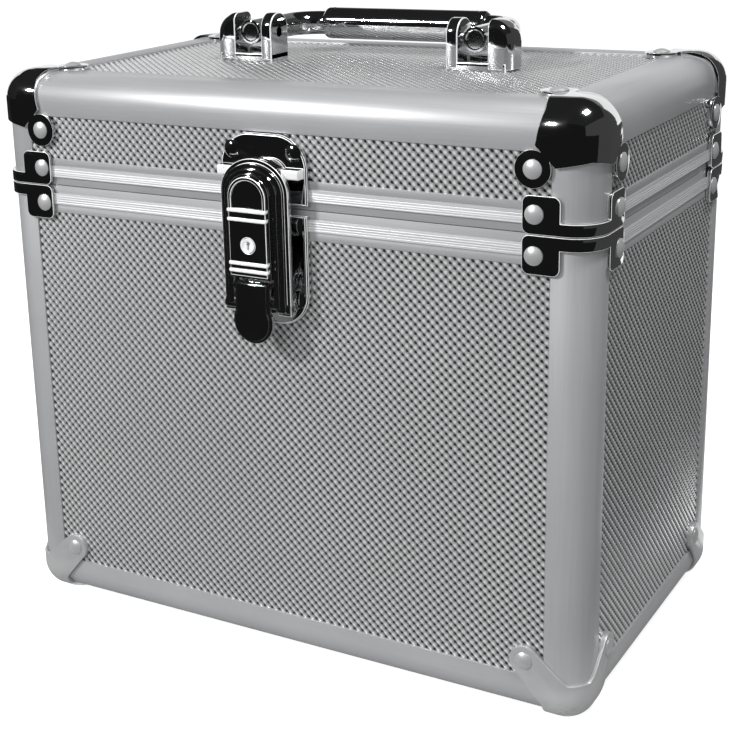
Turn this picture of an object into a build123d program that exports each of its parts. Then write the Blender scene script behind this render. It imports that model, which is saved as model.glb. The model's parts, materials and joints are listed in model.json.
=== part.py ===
"""Hard drive case: an aluminium-framed case with a hinged lid, a draw latch and a folding handle.

Millimetres. +X to the right, the front faces -Y, +Z up. The origin lies on the floor under the
middle of the whole case, latch and hinges included.
"""
from build123d import *
from math import cos, radians, sin
import os

os.makedirs("parts", exist_ok=True)

# Case
case_width = 242.0
case_depth = 146.0
body_height = 174.0
lid_height = 42.0
seam_gap = 0.3
edge_radius = 10.0

# Frame extrusions: an outer skin and an inner skin with a slot between them for the panel's edge
skin = 1.2
inner_skin = 1.0
slot_depth = 6.0
slot_play = 0.1
panel_thickness = 4.0
post_width = 14.6
rail_face = 15.3
base_wing = 15.0
top_wing = 19.0

# Rims: the grooved bands above and below the seam
rim_height = 10.5
seam_recess_height = 3.0
seam_recess_depth = 0.8
rib_height = 4.3
border_recess_depth = 0.4
tongue_inset = 2.6
tongue_thickness = 1.2
tongue_height = 1.2
tongue_play = 0.4

# Ball corners
corner_wall = 1.4
lid_corner_edge = 17.5
lid_corner_shoulder = 20.0
lid_corner_neck = 13.0
lid_lobe_in = 20.6
lid_lobe_radius = 6.2
base_corner_edge = 15.0
base_neck_in = 11.0
base_neck_radius = 6.5
base_lobe_in = 21.5
base_lobe_radius = 5.4
lobe_blend = 1.8

# Seam brackets
bracket_reach = 24.0
bracket_plate_width = 13.0
bracket_plate_height = 13.0
bracket_plate_radius = 2.5
bracket_band_height = 4.5
bracket_rivet_in = 19.9
bracket_rivet_rise = 6.8

# Rivets
rivet_head_radius = 3.2
rivet_head_height = 1.3
rivet_shank_radius = 1.5

# Hinges
hinge_width = 30.0
hinge_spacing = 130.0
hinge_leaf_height = 14.0
hinge_pin_radius = 1.2
hinge_barrel_radius = 2.6
hinge_pin_out = 3.5
hinge_running_gap = 0.05
hinge_end_gap = 0.25
hinge_lid_barrel = 10.0
hinge_notch = 3.2
hinge_rivet_spacing = 18.0

# Latch
keeper_width = 35.0
keeper_bottom = 2.0
keeper_top = 26.5
keeper_thickness = 2.0
plate_bevel = 0.5
keeper_round = 12.0
ridge_bottom = 11.8
ridge_height = 3.4
ridge_proud = 6.2
ridge_width = 33.0
ridge_round = 0.85
boss_radius = 6.5
boss_x = 4.0
boss_proud = 3.2
keeper_rivet_rise = 20.5
latch_rivet_x = 12.6
base_plate_width = 34.0
base_plate_top = 1.5
base_plate_bottom = 42.0
base_plate_thickness = 2.0
base_plate_round = 12.0
base_upper_rivet_drop = 5.4
base_lower_rivet_drop = 32.0

lever_pin_out = 7.0
lever_pin_drop = 29.0
lever_pin_radius = 1.3
pin_throw = 5.0
over_centre_angle = 5.0
claw_pin_radius = 1.25
pin_running_gap = 0.05
ear_inner = 6.2
ear_thickness = 1.8
ear_radius = 2.8
lever_head_width = 11.8
lever_head_radius = 3.1
lever_lug_radius = 2.5
tongue_top_rise = 2.5
tongue_back = 10.8
tongue_plate = 2.2
tongue_bevel = 0.55
tongue_spoon_radius = 8.1
tongue_spoon_drop = 9.9
claw_width = 27.4
claw_back = 6.5
claw_thickness = 3.0
claw_arch_height = 12.0
claw_top_rise = 18.8
claw_slot_half = 8.4
claw_slot_top_drop = 21.5
claw_hook_clearance = 0.3
claw_hook_reach = 3.6
claw_lug_radius = 2.6
claw_panel_width = 17.0
claw_panel_proud = 4.0
claw_panel_bevel = 0.6
claw_panel_top_drop = 4.6
claw_rib_height = 1.3
claw_rib_width = 14.6
claw_rib_proud = 0.6
claw_low_rib_rise = 1.3
claw_low_rib_pitch = 2.6
claw_high_rib_rise = 9.1
claw_high_rib_pitch = 3.25
key_drop = 11.0
key_radius = 2.6
key_play = 0.05
key_slot_width = 0.9
key_slot_length = 3.4
key_slot_depth = 2.5

# Handle
handle_spacing = 97.2
handle_rod_radius = 4.8
handle_leg = 36.0
handle_tail = 4.5
handle_bend = 12.0
handle_rise = 10.5
handle_end_bevel = 1.0
grip_length = 72.0
grip_radius = 6.4
grip_bevel = 0.8
handle_pin_radius = 2.0
bracket_ear_thickness = 4.6
bracket_channel = 12.2
bracket_dome_thickness = 9.0
bracket_depth = 13.0
bracket_height = 18.0
bracket_floor = 2.4
bracket_plan_round = 4.0
bracket_top_round = 3.9
bracket_screw_radius = 1.5
bracket_screw_grip = 6.0
bracket_screw_head_radius = 3.0
bracket_screw_head_height = 2.0

# Inside: foam block with a slot for each drive, on a foam floor, and a foam pad in the lid
drive_thickness = 26.1
drive_width = 101.6
drive_play = 1.5
drive_slots = 5
drive_slot_pitch = 43.0
foam_clearance = 0.5
foam_corner_round = 3.7
foam_floor_thickness = 20.0
foam_block_height = 132.0
lid_pad_thickness = 31.0
screw_pocket_play = 1.0

# Worked out from the sizes above
case_height = body_height + lid_height
slot_width = panel_thickness + 2 * slot_play
band = skin + slot_width + inner_skin
panel_inset = skin + slot_play
panel_edge = slot_depth - slot_play
frame_bottom = corner_wall
seam_z = frame_bottom + body_height
lid_bottom = seam_z + seam_gap
case_top = seam_z + lid_height
half_width = case_width / 2
half_depth = case_depth / 2
latch_reach = claw_back + claw_thickness + claw_panel_proud + claw_rib_proud
hinge_reach = hinge_pin_out + hinge_barrel_radius
mid_y = (latch_reach - hinge_reach) / 2
front_y = mid_y - half_depth
back_y = mid_y + half_depth
rivet_length = corner_wall + band

lever_pin_z = seam_z - lever_pin_drop
claw_pin_out = lever_pin_out - pin_throw * sin(radians(over_centre_angle))
claw_pin_z = lever_pin_z - pin_throw * cos(radians(over_centre_angle))
ridge_z = seam_z + ridge_bottom
ridge_top = ridge_z + ridge_height
claw_top_z = seam_z + claw_top_rise
key_z = seam_z - key_drop
pivot_z = case_top + handle_rise

walls = {
    "front": Plane(origin=(0, front_y, 0), x_dir=(1, 0, 0), z_dir=(0, -1, 0)),
    "back": Plane(origin=(0, back_y, 0), x_dir=(-1, 0, 0), z_dir=(0, 1, 0)),
    "left": Plane(origin=(-half_width, mid_y, 0), x_dir=(0, -1, 0), z_dir=(-1, 0, 0)),
    "right": Plane(origin=(half_width, mid_y, 0), x_dir=(0, 1, 0), z_dir=(1, 0, 0)),
}
wall_half = {"front": half_width, "back": half_width, "left": half_depth, "right": half_depth}
plan_corners = {
    "front_left": (-1, -1),
    "front_right": (1, -1),
    "back_left": (-1, 1),
    "back_right": (1, 1),
}
up = Vector(0, 0, 1)
low_corner = (Align.MIN, Align.MIN)
latch_side = Plane(origin=(0, front_y, 0), x_dir=(0, -1, 0), z_dir=(-1, 0, 0))
hinge_side = Plane(origin=(0, back_y, 0), x_dir=(0, 1, 0), z_dir=(1, 0, 0))


def save(piece, name):
    """Label a finished piece and write it under its name."""
    piece.part.label = name
    export_step(piece.part, f"parts/{name}.step")


def on_wall(wall, across, height, proud=0.0):
    """Place on a wall, facing out: across from its middle, at a height, proud of the frame."""
    return walls[wall].offset(proud).location * Location((across, height, 0))


def both_ends(wall, inset):
    """The two places along a wall that lie an inset in from its ends."""
    return [-(wall_half[wall] - inset), wall_half[wall] - inset]


# Rivet places, by wall

base_rivets = {}
lid_rivets = {}
for wall_name in walls:
    base_rivets[wall_name] = [
        (across, frame_bottom + base_lobe_in) for across in both_ends(wall_name, base_lobe_in)
    ] + [(across, seam_z - bracket_rivet_rise) for across in both_ends(wall_name, bracket_rivet_in)]
    lid_rivets[wall_name] = [
        (across, case_top - lid_lobe_in) for across in both_ends(wall_name, lid_lobe_in)
    ] + [(across, seam_z + bracket_rivet_rise) for across in both_ends(wall_name, bracket_rivet_in)]

for hinge_x in (-hinge_spacing / 2, hinge_spacing / 2):
    for rivet_x in (-hinge_rivet_spacing / 2, hinge_rivet_spacing / 2):
        base_rivets["back"].append((hinge_x + rivet_x, seam_z - hinge_leaf_height / 2))
        lid_rivets["back"].append((hinge_x + rivet_x, seam_z + hinge_leaf_height / 2))

base_plate_rivets = [
    (side * latch_rivet_x, seam_z - drop)
    for side in (-1, 1)
    for drop in (base_upper_rivet_drop, base_lower_rivet_drop)
]
keeper_rivets = [(side * latch_rivet_x, seam_z + keeper_rivet_rise) for side in (-1, 1)]
top_rivets = [
    (side_x * (half_width - lid_lobe_in), mid_y + side_y * (half_depth - lid_lobe_in))
    for side_x, side_y in plan_corners.values()
]


def rivet():
    """Domed head above its seat and a shank below it."""
    dome_radius = (rivet_head_radius**2 + rivet_head_height**2) / (2 * rivet_head_height)
    with BuildPart() as piece:
        with BuildSketch(Plane.XZ):
            with Locations((0, rivet_head_height - dome_radius)):
                Circle(dome_radius)
            Rectangle(rivet_head_radius, rivet_head_height, align=low_corner, mode=Mode.INTERSECT)
        revolve(axis=Axis.Z)
        Cylinder(
            rivet_shank_radius,
            rivet_length,
            align=(Align.CENTER, Align.CENTER, Align.MAX),
        )
    return piece.part


def rivet_places(rivets, proud=corner_wall):
    """Seats of a dictionary of rivets, as locations that face out of their walls."""
    return [on_wall(wall, *place, proud) for wall, places in rivets.items() for place in places]


def drill(places):
    """Cut the shank holes of the rivets at these seats from the piece that is being made."""
    with Locations(*places):
        Cylinder(
            rivet_shank_radius,
            rivet_length,
            align=(Align.CENTER, Align.CENTER, Align.MAX),
            mode=Mode.SUBTRACT,
        )


base_seats = {wall: rivet_places({wall: base_rivets[wall]}) for wall in walls}
lid_seats = {wall: rivet_places({wall: lid_rivets[wall]}) for wall in walls}
top_seats = [Location((x, y, case_top + corner_wall)) for x, y in top_rivets]
base_plate_seats = [on_wall("front", *place, base_plate_thickness) for place in base_plate_rivets]
keeper_seats = [on_wall("front", *place, keeper_thickness) for place in keeper_rivets]
base_seats_all = [seat for seats in base_seats.values() for seat in seats]
lid_seats_all = [seat for seats in lid_seats.values() for seat in seats] + top_seats


# Panels

def wall_panel(wall, low, high, seats):
    """Upright sheet whose edges sit in the slots of the frame around it."""
    with BuildPart() as piece:
        with BuildSketch(walls[wall].offset(-panel_inset)):
            with Locations((0, (low + high) / 2)):
                Rectangle(2 * (wall_half[wall] - post_width + panel_edge), high - low)
        extrude(amount=-panel_thickness)
        drill(seats)
    return piece


def level_panel(face_z, inward, wing):
    """Level sheet of the base or the lid, below or above the face at this height."""
    with BuildPart() as piece:
        with BuildSketch(Plane.XY.offset(face_z + inward * panel_inset)):
            with Locations((0, mid_y)):
                Rectangle(
                    case_width - 2 * (wing - panel_edge),
                    case_depth - 2 * (wing - panel_edge),
                )
        extrude(amount=inward * panel_thickness)
    return piece


body_panel_low = frame_bottom + rail_face - panel_edge
body_panel_high = seam_z - rim_height + panel_edge
lid_panel_low = seam_z + rim_height - panel_edge
lid_panel_high = case_top - rail_face + panel_edge
for wall_name in walls:
    front_extra = base_plate_seats if wall_name == "front" else []
    body_panel = wall_panel(
        wall_name, body_panel_low, body_panel_high, base_seats[wall_name] + front_extra
    )
    save(body_panel, f"{wall_name}_panel")
    front_extra = keeper_seats if wall_name == "front" else []
    lid_panel = wall_panel(
        wall_name, lid_panel_low, lid_panel_high, lid_seats[wall_name] + front_extra
    )
    save(lid_panel, f"lid_{wall_name}_panel")

save(level_panel(frame_bottom, 1, base_wing), "base_panel")


# Frame

def rounded_block(grow):
    """The frame's whole outside with every edge rounded, grown outwards."""
    with BuildPart() as block:
        with Locations((0, mid_y, frame_bottom + case_height / 2)):
            Box(case_width + 2 * grow, case_depth + 2 * grow, case_height + 2 * grow)
        fillet(block.edges(), edge_radius + grow)
    return block.part


frame_block = rounded_block(0)
corner_shell = rounded_block(corner_wall) - frame_block


def angle_section(leg_along, leg_across):
    """Angle extrusion: a round outside edge and two legs, each with a panel slot in its end."""
    with BuildSketch() as section:
        Rectangle(leg_along, band, align=low_corner)
        Rectangle(band, leg_across, align=low_corner)
        fillet(section.vertices().sort_by(lambda corner: corner.X + corner.Y)[0], edge_radius)
        with Locations((leg_along - slot_depth, skin)):
            Rectangle(slot_depth, slot_width, align=low_corner, mode=Mode.SUBTRACT)
        with Locations((skin, leg_across - slot_depth)):
            Rectangle(slot_width, slot_depth, align=low_corner, mode=Mode.SUBTRACT)
    return section.sketch


def inward_from(side_x, side_y):
    """The two level directions that point into the case from one of its upright edges."""
    return Vector(-side_x, 0, 0), Vector(0, -side_y, 0)


def case_corner(side_x, side_y, height):
    """Point where the outer faces of two walls meet at a height."""
    return Vector(side_x * half_width, mid_y + side_y * half_depth, height)


def posts(low, high):
    """Four upright corner extrusions between two heights, rounded where they meet the ends."""
    section = angle_section(post_width, post_width)
    with BuildPart() as piece:
        for side_x, side_y in plan_corners.values():
            to_x, to_y = inward_from(side_x, side_y)
            middle = case_corner(side_x, side_y, (low + high) / 2)
            with BuildSketch(Plane(origin=middle, x_dir=to_x, z_dir=to_x.cross(to_y))):
                add(section)
            extrude(amount=(high - low) / 2, both=True)
        add(frame_block, mode=Mode.INTERSECT)
    return piece


def edge_rail(wall, height, rise, wing):
    """Level angle extrusion along the bottom or the top edge of a wall, between the posts."""
    outward = walls[wall].z_dir
    edge = walls[wall].origin + up * height
    with BuildPart() as piece:
        plane = Plane(origin=edge, x_dir=-outward, z_dir=(-outward).cross(up * rise))
        with BuildSketch(plane):
            add(angle_section(wing, rail_face))
        extrude(amount=wall_half[wall] - post_width, both=True)
        square_end = wall_half[wall] - post_width
        mitre_end = wall_half[wall] - wing
        with BuildSketch(Plane(origin=edge, x_dir=walls[wall].x_dir, z_dir=up)):
            Polygon(
                (-square_end, 0),
                (square_end, 0),
                (square_end, post_width),
                (mitre_end, wing),
                (-mitre_end, wing),
                (-square_end, post_width),
                align=None,
            )
        extrude(amount=rail_face, both=True, mode=Mode.INTERSECT)
    return piece


def rim(wall, rise, seats, grooved):
    """Grooved band along the seam: the lid's has a tongue that enters a groove in the body's."""
    outward = walls[wall].z_dir
    start = lid_bottom if rise > 0 else seam_z
    height = rim_height - seam_gap if rise > 0 else rim_height
    edge = walls[wall].origin + up * start
    plane = Plane(origin=edge, x_dir=-outward, z_dir=(-outward).cross(up * rise))
    half_length = wall_half[wall] - post_width
    with BuildPart() as piece:
        with BuildSketch(plane):
            Rectangle(band, height, align=low_corner)
            Rectangle(seam_recess_depth, seam_recess_height, align=low_corner, mode=Mode.SUBTRACT)
            with Locations((0, seam_recess_height + rib_height)):
                Rectangle(border_recess_depth, height, align=low_corner, mode=Mode.SUBTRACT)
            with Locations((skin, height - slot_depth)):
                Rectangle(slot_width, slot_depth, align=low_corner, mode=Mode.SUBTRACT)
            if grooved:
                with Locations((tongue_inset - tongue_play, 0)):
                    Rectangle(
                        tongue_thickness + 2 * tongue_play,
                        tongue_height + tongue_play,
                        align=low_corner,
                        mode=Mode.SUBTRACT,
                    )
        extrude(amount=half_length, both=True)
        if not grooved:
            with BuildSketch(plane):
                with Locations((tongue_inset, 0)):
                    Rectangle(
                        tongue_thickness,
                        tongue_height + seam_gap,
                        align=(Align.MIN, Align.MAX),
                    )
            extrude(amount=half_length - tongue_play, both=True)
        drill(seats)
    return piece


save(posts(frame_bottom, seam_z), "corner_posts")
save(posts(lid_bottom, case_top), "lid_posts")
for wall_name in walls:
    save(edge_rail(wall_name, frame_bottom, 1, base_wing), f"base_rail_{wall_name}")
    save(edge_rail(wall_name, case_top, -1, top_wing), f"lid_rail_{wall_name}")
    front_extra = base_plate_seats if wall_name == "front" else []
    body_rim = rim(wall_name, -1, base_seats[wall_name] + front_extra, True)
    save(body_rim, f"body_rim_{wall_name}")
    save(rim(wall_name, 1, lid_seats[wall_name], False), f"lid_rim_{wall_name}")


# Ball corners

def lid_corner_outline():
    """Face of a lid corner: a square with slanted ends and a round lobe on its diagonal."""
    with BuildSketch() as outline:
        Polygon(
            (0, 0),
            (lid_corner_edge, 0),
            (lid_corner_shoulder, lid_corner_neck),
            (lid_corner_neck, lid_corner_shoulder),
            (0, lid_corner_edge),
            align=None,
        )
        with Locations((lid_lobe_in, lid_lobe_in)):
            Circle(lid_lobe_radius)
    return outline.sketch


def base_corner_outline():
    """Face of a base corner: a short square that narrows to a lobe on its diagonal."""
    with BuildSketch() as neck:
        with Locations((base_neck_in, base_neck_in)):
            Circle(base_neck_radius)
        with Locations((base_lobe_in, base_lobe_in)):
            Circle(base_lobe_radius)
        make_hull()
    with BuildSketch() as outline:
        Rectangle(base_corner_edge, base_corner_edge, align=low_corner)
        add(neck.sketch)
        joints = outline.vertices().filter_by(
            lambda corner: min(corner.X, corner.Y) > lobe_blend
            and abs(max(corner.X, corner.Y) - base_corner_edge) < slot_play
        )
        fillet(joints, lobe_blend)
    return outline.sketch


def ball_corner(side_x, side_y, height, rise, outline, reach, level_wing, seats):
    """Shell over a corner of the case, with a lobe on each face that sits on the panel."""
    corner = case_corner(side_x, side_y, height)
    to_x, to_y = inward_from(side_x, side_y)
    to_z = up * rise
    faces = (
        (to_x, to_z, to_y, post_width, rail_face),
        (to_y, to_z, to_x, post_width, rail_face),
        (to_x, to_y, to_z, level_wing, level_wing),
    )
    with BuildPart() as piece:
        for along, across, inward, wing_along, wing_across in faces:
            with BuildSketch(Plane(origin=corner, x_dir=along, z_dir=along.cross(across))):
                add(outline)
            extrude(amount=reach, both=True)
        add(corner_shell, mode=Mode.INTERSECT)
        for along, across, inward, wing_along, wing_across in faces:
            pad_middle = corner + inward * (panel_inset / 2)
            with BuildSketch(Plane(origin=pad_middle, x_dir=along, z_dir=along.cross(across))):
                add(outline)
                with Locations((wing_along, wing_across)):
                    Rectangle(reach, reach, align=low_corner, mode=Mode.INTERSECT)
            extrude(amount=panel_inset / 2, both=True)
        drill(seats)
    return piece


lid_outline = lid_corner_outline()
base_outline = base_corner_outline()
for place, (side_x, side_y) in plan_corners.items():
    lid_corner = ball_corner(
        side_x, side_y, case_top, -1, lid_outline, lid_corner_edge, top_wing, lid_seats_all
    )
    save(lid_corner, f"lid_corner_{place}")
    base_corner = ball_corner(
        side_x, side_y, frame_bottom, 1, base_outline, base_corner_edge, base_wing, base_seats_all
    )
    save(base_corner, f"base_corner_{place}")

with BuildPart() as top_panel:
    add(level_panel(case_top, -1, top_wing).part)
    drill(top_seats)
    screw_x = [
        handle_spacing / 2 - bracket_channel / 2 - bracket_ear_thickness / 2,
        handle_spacing / 2 + bracket_channel / 2 + bracket_dome_thickness / 2,
    ]
    screw_places = [(side * x, mid_y) for side in (-1, 1) for x in screw_x]
    with Locations(*[(x, y, case_top) for x, y in screw_places]):
        Cylinder(
            bracket_screw_radius,
            band,
            align=(Align.CENTER, Align.CENTER, Align.MAX),
            mode=Mode.SUBTRACT,
        )
save(top_panel, "lid_top_panel")


# Seam brackets

def seam_brackets(rise, seats):
    """One half of the brackets at the seam: two riveted plates and a band round each post."""
    start = lid_bottom if rise > 0 else seam_z
    gap = seam_gap if rise > 0 else 0
    with BuildPart() as piece:
        for side_x, side_y in plan_corners.values():
            to_x, to_y = inward_from(side_x, side_y)
            corner = case_corner(side_x, side_y, start)
            for along in (to_x, to_y):
                plane = Plane(origin=corner, x_dir=along, z_dir=along.cross(up * rise))
                with BuildSketch(plane) as plate:
                    with Locations((bracket_reach - bracket_plate_width, 0)):
                        Rectangle(
                            bracket_plate_width, bracket_plate_height - gap, align=low_corner
                        )
                    fillet(plate.vertices(), bracket_plate_radius)
                    Rectangle(
                        bracket_reach - bracket_plate_radius,
                        bracket_band_height - gap,
                        align=low_corner,
                    )
                extrude(amount=post_width, both=True)
        add(corner_shell, mode=Mode.INTERSECT)
        drill(seats)
    return piece


save(seam_brackets(-1, base_seats_all), "lower_seam_brackets")
save(seam_brackets(1, lid_seats_all), "upper_seam_brackets")


# Rivets

def rivet_group(seats):
    """Rivets at these seats, as separate solids."""
    with BuildPart() as piece:
        with Locations(*seats):
            add(rivet())
    return piece


save(rivet_group(base_seats_all + base_plate_seats), "body_rivets")
save(rivet_group(lid_seats_all + keeper_seats), "lid_rivets")


# Hinges

def hinge_barrel(start, end):
    """Add a stretch of barrel round the hinge axis to the piece that is being made."""
    middle = (start + end) / 2
    with BuildSketch(hinge_side.offset(middle)) as ring:
        with Locations((hinge_pin_out, seam_z)):
            Circle(hinge_barrel_radius)
    extrude(ring.sketch, amount=(end - start) / 2, both=True)


def hinge_leaf(middle, rise):
    """Add one leaf of a hinge: a plate with a notch for the other leaf's barrel, and barrels."""
    half = hinge_width / 2
    half_barrel = hinge_lid_barrel / 2
    with BuildSketch(walls["back"]) as plate:
        with Locations((-middle, seam_z)):
            Rectangle(
                hinge_width,
                hinge_leaf_height,
                align=(Align.CENTER, Align.MIN if rise > 0 else Align.MAX),
            )
    extrude(plate.sketch, amount=corner_wall)
    own = [(-half_barrel + hinge_end_gap, half_barrel - hinge_end_gap)]
    other = [(-half, -half_barrel), (half_barrel, half)]
    if rise < 0:
        own, other = other, own
    for start, end in own:
        hinge_barrel(middle + start, middle + end)
    for start, end in other:
        with BuildSketch(walls["back"].offset(-corner_wall)) as notch:
            with Locations((-middle - (start + end) / 2, seam_z)):
                Rectangle(
                    end - start + 2 * hinge_end_gap,
                    2 * hinge_notch,
                )
        extrude(notch.sketch, amount=2 * hinge_reach, mode=Mode.SUBTRACT)


def hinge_leaves(rise, bore, seats):
    """The leaves of both hinges, bored for their pins."""
    with BuildPart() as piece:
        for middle in (-hinge_spacing / 2, hinge_spacing / 2):
            hinge_leaf(middle, rise)
        with BuildSketch(hinge_side.offset(-case_width / 2)):
            with Locations((hinge_pin_out, seam_z)):
                Circle(bore)
        extrude(amount=case_width, mode=Mode.SUBTRACT)
        drill(seats)
    return piece


save(hinge_leaves(-1, hinge_pin_radius, base_seats["back"]), "hinge_leaves_lower")
save(hinge_leaves(1, hinge_pin_radius + hinge_running_gap, lid_seats["back"]), "hinge_leaves_upper")

with BuildPart() as hinge_pins:
    for middle in (-hinge_spacing / 2, hinge_spacing / 2):
        with BuildSketch(hinge_side.offset(middle)):
            with Locations((hinge_pin_out, seam_z)):
                Circle(hinge_pin_radius)
        extrude(amount=hinge_width / 2, both=True)
save(hinge_pins, "hinge_pins")


# Latch keeper on the lid

with BuildPart() as latch_keeper:
    with BuildSketch(walls["front"]) as keeper_plate:
        with Locations((0, seam_z + keeper_bottom)):
            Rectangle(
                keeper_width, keeper_top - keeper_bottom, align=(Align.CENTER, Align.MIN)
            )
        fillet(keeper_plate.vertices().group_by(Axis.Y)[-1], keeper_round)
    extrude(amount=keeper_thickness)
    chamfer(latch_keeper.faces().sort_by(Axis.Y)[0].edges(), plate_bevel)
    with BuildSketch(walls["front"].offset(-panel_inset)) as keeper_pad:
        with Locations((0, seam_z + rim_height)):
            Rectangle(
                keeper_width, keeper_top - rim_height, align=(Align.CENTER, Align.MIN)
            )
        fillet(keeper_pad.vertices().group_by(Axis.Y)[-1], keeper_round)
    extrude(amount=panel_inset)
    with BuildSketch(latch_side) as ridge:
        with Locations((0, ridge_z)):
            Rectangle(ridge_proud, ridge_height, align=low_corner)
        fillet(ridge.vertices().group_by(Axis.X)[-1], ridge_round)
    extrude(amount=ridge_width / 2, both=True)
    with BuildSketch(walls["front"]):
        with Locations((boss_x, ridge_z)):
            Circle(boss_radius)
            Rectangle(
                2 * boss_radius, boss_radius, align=(Align.CENTER, Align.MIN), mode=Mode.INTERSECT
            )
    extrude(amount=boss_proud)
    drill(keeper_seats)
save(latch_keeper, "latch_keeper")


# Latch base on the body, with two ears for the lever's pin

with BuildPart() as latch_base:
    with BuildSketch(walls["front"]) as base_plate:
        with Locations((0, seam_z - base_plate_top)):
            Rectangle(
                base_plate_width,
                base_plate_bottom - base_plate_top,
                align=(Align.CENTER, Align.MAX),
            )
        fillet(base_plate.vertices().group_by(Axis.Y)[0], base_plate_round)
    extrude(amount=base_plate_thickness)
    chamfer(latch_base.faces().sort_by(Axis.Y)[0].edges(), plate_bevel)
    with BuildSketch(walls["front"].offset(-panel_inset)) as base_pad:
        with Locations((0, seam_z - rim_height)):
            Rectangle(
                base_plate_width,
                base_plate_bottom - rim_height,
                align=(Align.CENTER, Align.MAX),
            )
        fillet(base_pad.vertices().group_by(Axis.Y)[0], base_plate_round)
    extrude(amount=panel_inset)
    for side in (-1, 1):
        with BuildSketch(latch_side.offset(side * (ear_inner + ear_thickness / 2))):
            with Locations((lever_pin_out, lever_pin_z)):
                Circle(ear_radius)
            with Locations((0, lever_pin_z)):
                Rectangle(lever_pin_out, 2 * ear_radius, align=(Align.MIN, Align.CENTER))
            with Locations((lever_pin_out, lever_pin_z)):
                Circle(lever_pin_radius, mode=Mode.SUBTRACT)
        extrude(amount=ear_thickness / 2, both=True)
    drill(base_plate_seats)
save(latch_base, "latch_base")

with BuildPart() as lever_pin:
    with BuildSketch(latch_side):
        with Locations((lever_pin_out, lever_pin_z)):
            Circle(lever_pin_radius)
    extrude(amount=ear_inner + ear_thickness, both=True)
save(lever_pin, "lever_pin")


# Latch lever: a head on the pin and a spoon-shaped tongue

tongue_top_z = lever_pin_z + tongue_top_rise
tongue_front = tongue_back + tongue_plate
spoon_z = lever_pin_z - tongue_spoon_drop
with BuildPart() as latch_lever:
    with BuildSketch(latch_side) as head:
        with Locations((lever_pin_out, lever_pin_z)):
            Circle(lever_head_radius)
        with Locations((claw_pin_out, claw_pin_z)):
            Circle(lever_lug_radius)
        with Locations((tongue_back, tongue_top_z)):
            Rectangle(
                tongue_plate,
                tongue_top_rise + pin_throw,
                align=(Align.MIN, Align.MAX),
            )
        make_hull()
    extrude(amount=lever_head_width / 2, both=True)
    with BuildSketch(walls["front"].offset(tongue_back)):
        with Locations((0, spoon_z)):
            Circle(tongue_spoon_radius)
            Rectangle(
                lever_head_width, tongue_top_z - spoon_z, align=(Align.CENTER, Align.MIN)
            )
    extrude(amount=tongue_plate)
    chamfer(latch_lever.faces().sort_by(Axis.Y)[0].edges(), tongue_bevel)
    with BuildSketch(latch_side):
        with Locations((lever_pin_out, lever_pin_z)):
            Circle(lever_pin_radius + pin_running_gap)
        with Locations((claw_pin_out, claw_pin_z)):
            Circle(claw_pin_radius)
    extrude(amount=lever_head_width, both=True, mode=Mode.SUBTRACT)
save(latch_lever, "latch_lever")

with BuildPart() as claw_pin:
    with BuildSketch(latch_side):
        with Locations((claw_pin_out, claw_pin_z)):
            Circle(claw_pin_radius)
    extrude(amount=claw_width / 2, both=True)
save(claw_pin, "claw_pin")


# Latch claw: an oval plate with two arms on the pin and a hook over the keeper's ridge

def arched_outline(width, low, high, arch):
    """Plate with an elliptical arch as its top and a straight bottom."""
    with BuildSketch() as outline:
        with Locations((0, high - arch)):
            Ellipse(width / 2, arch)
            Rectangle(width, high - arch - low, align=(Align.CENTER, Align.MAX))
            Rectangle(width, 2 * (high - low), mode=Mode.INTERSECT)
        with Locations((0, low)):
            Rectangle(width, high - low, align=(Align.CENTER, Align.MIN), mode=Mode.INTERSECT)
    return outline.sketch


claw_low_z = claw_pin_z - claw_lug_radius
claw_slot_top = seam_z - claw_slot_top_drop
claw_front = claw_back + claw_thickness
panel_front = claw_front + claw_panel_proud
claw_panel_top = claw_top_z - claw_panel_top_drop
claw_panel_arch = claw_arch_height * claw_panel_width / claw_width
hook_z = ridge_top + claw_hook_clearance
claw_outline = arched_outline(claw_width, claw_low_z, claw_top_z, claw_arch_height)
panel_outline = arched_outline(claw_panel_width, claw_slot_top, claw_panel_top, claw_panel_arch)

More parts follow.
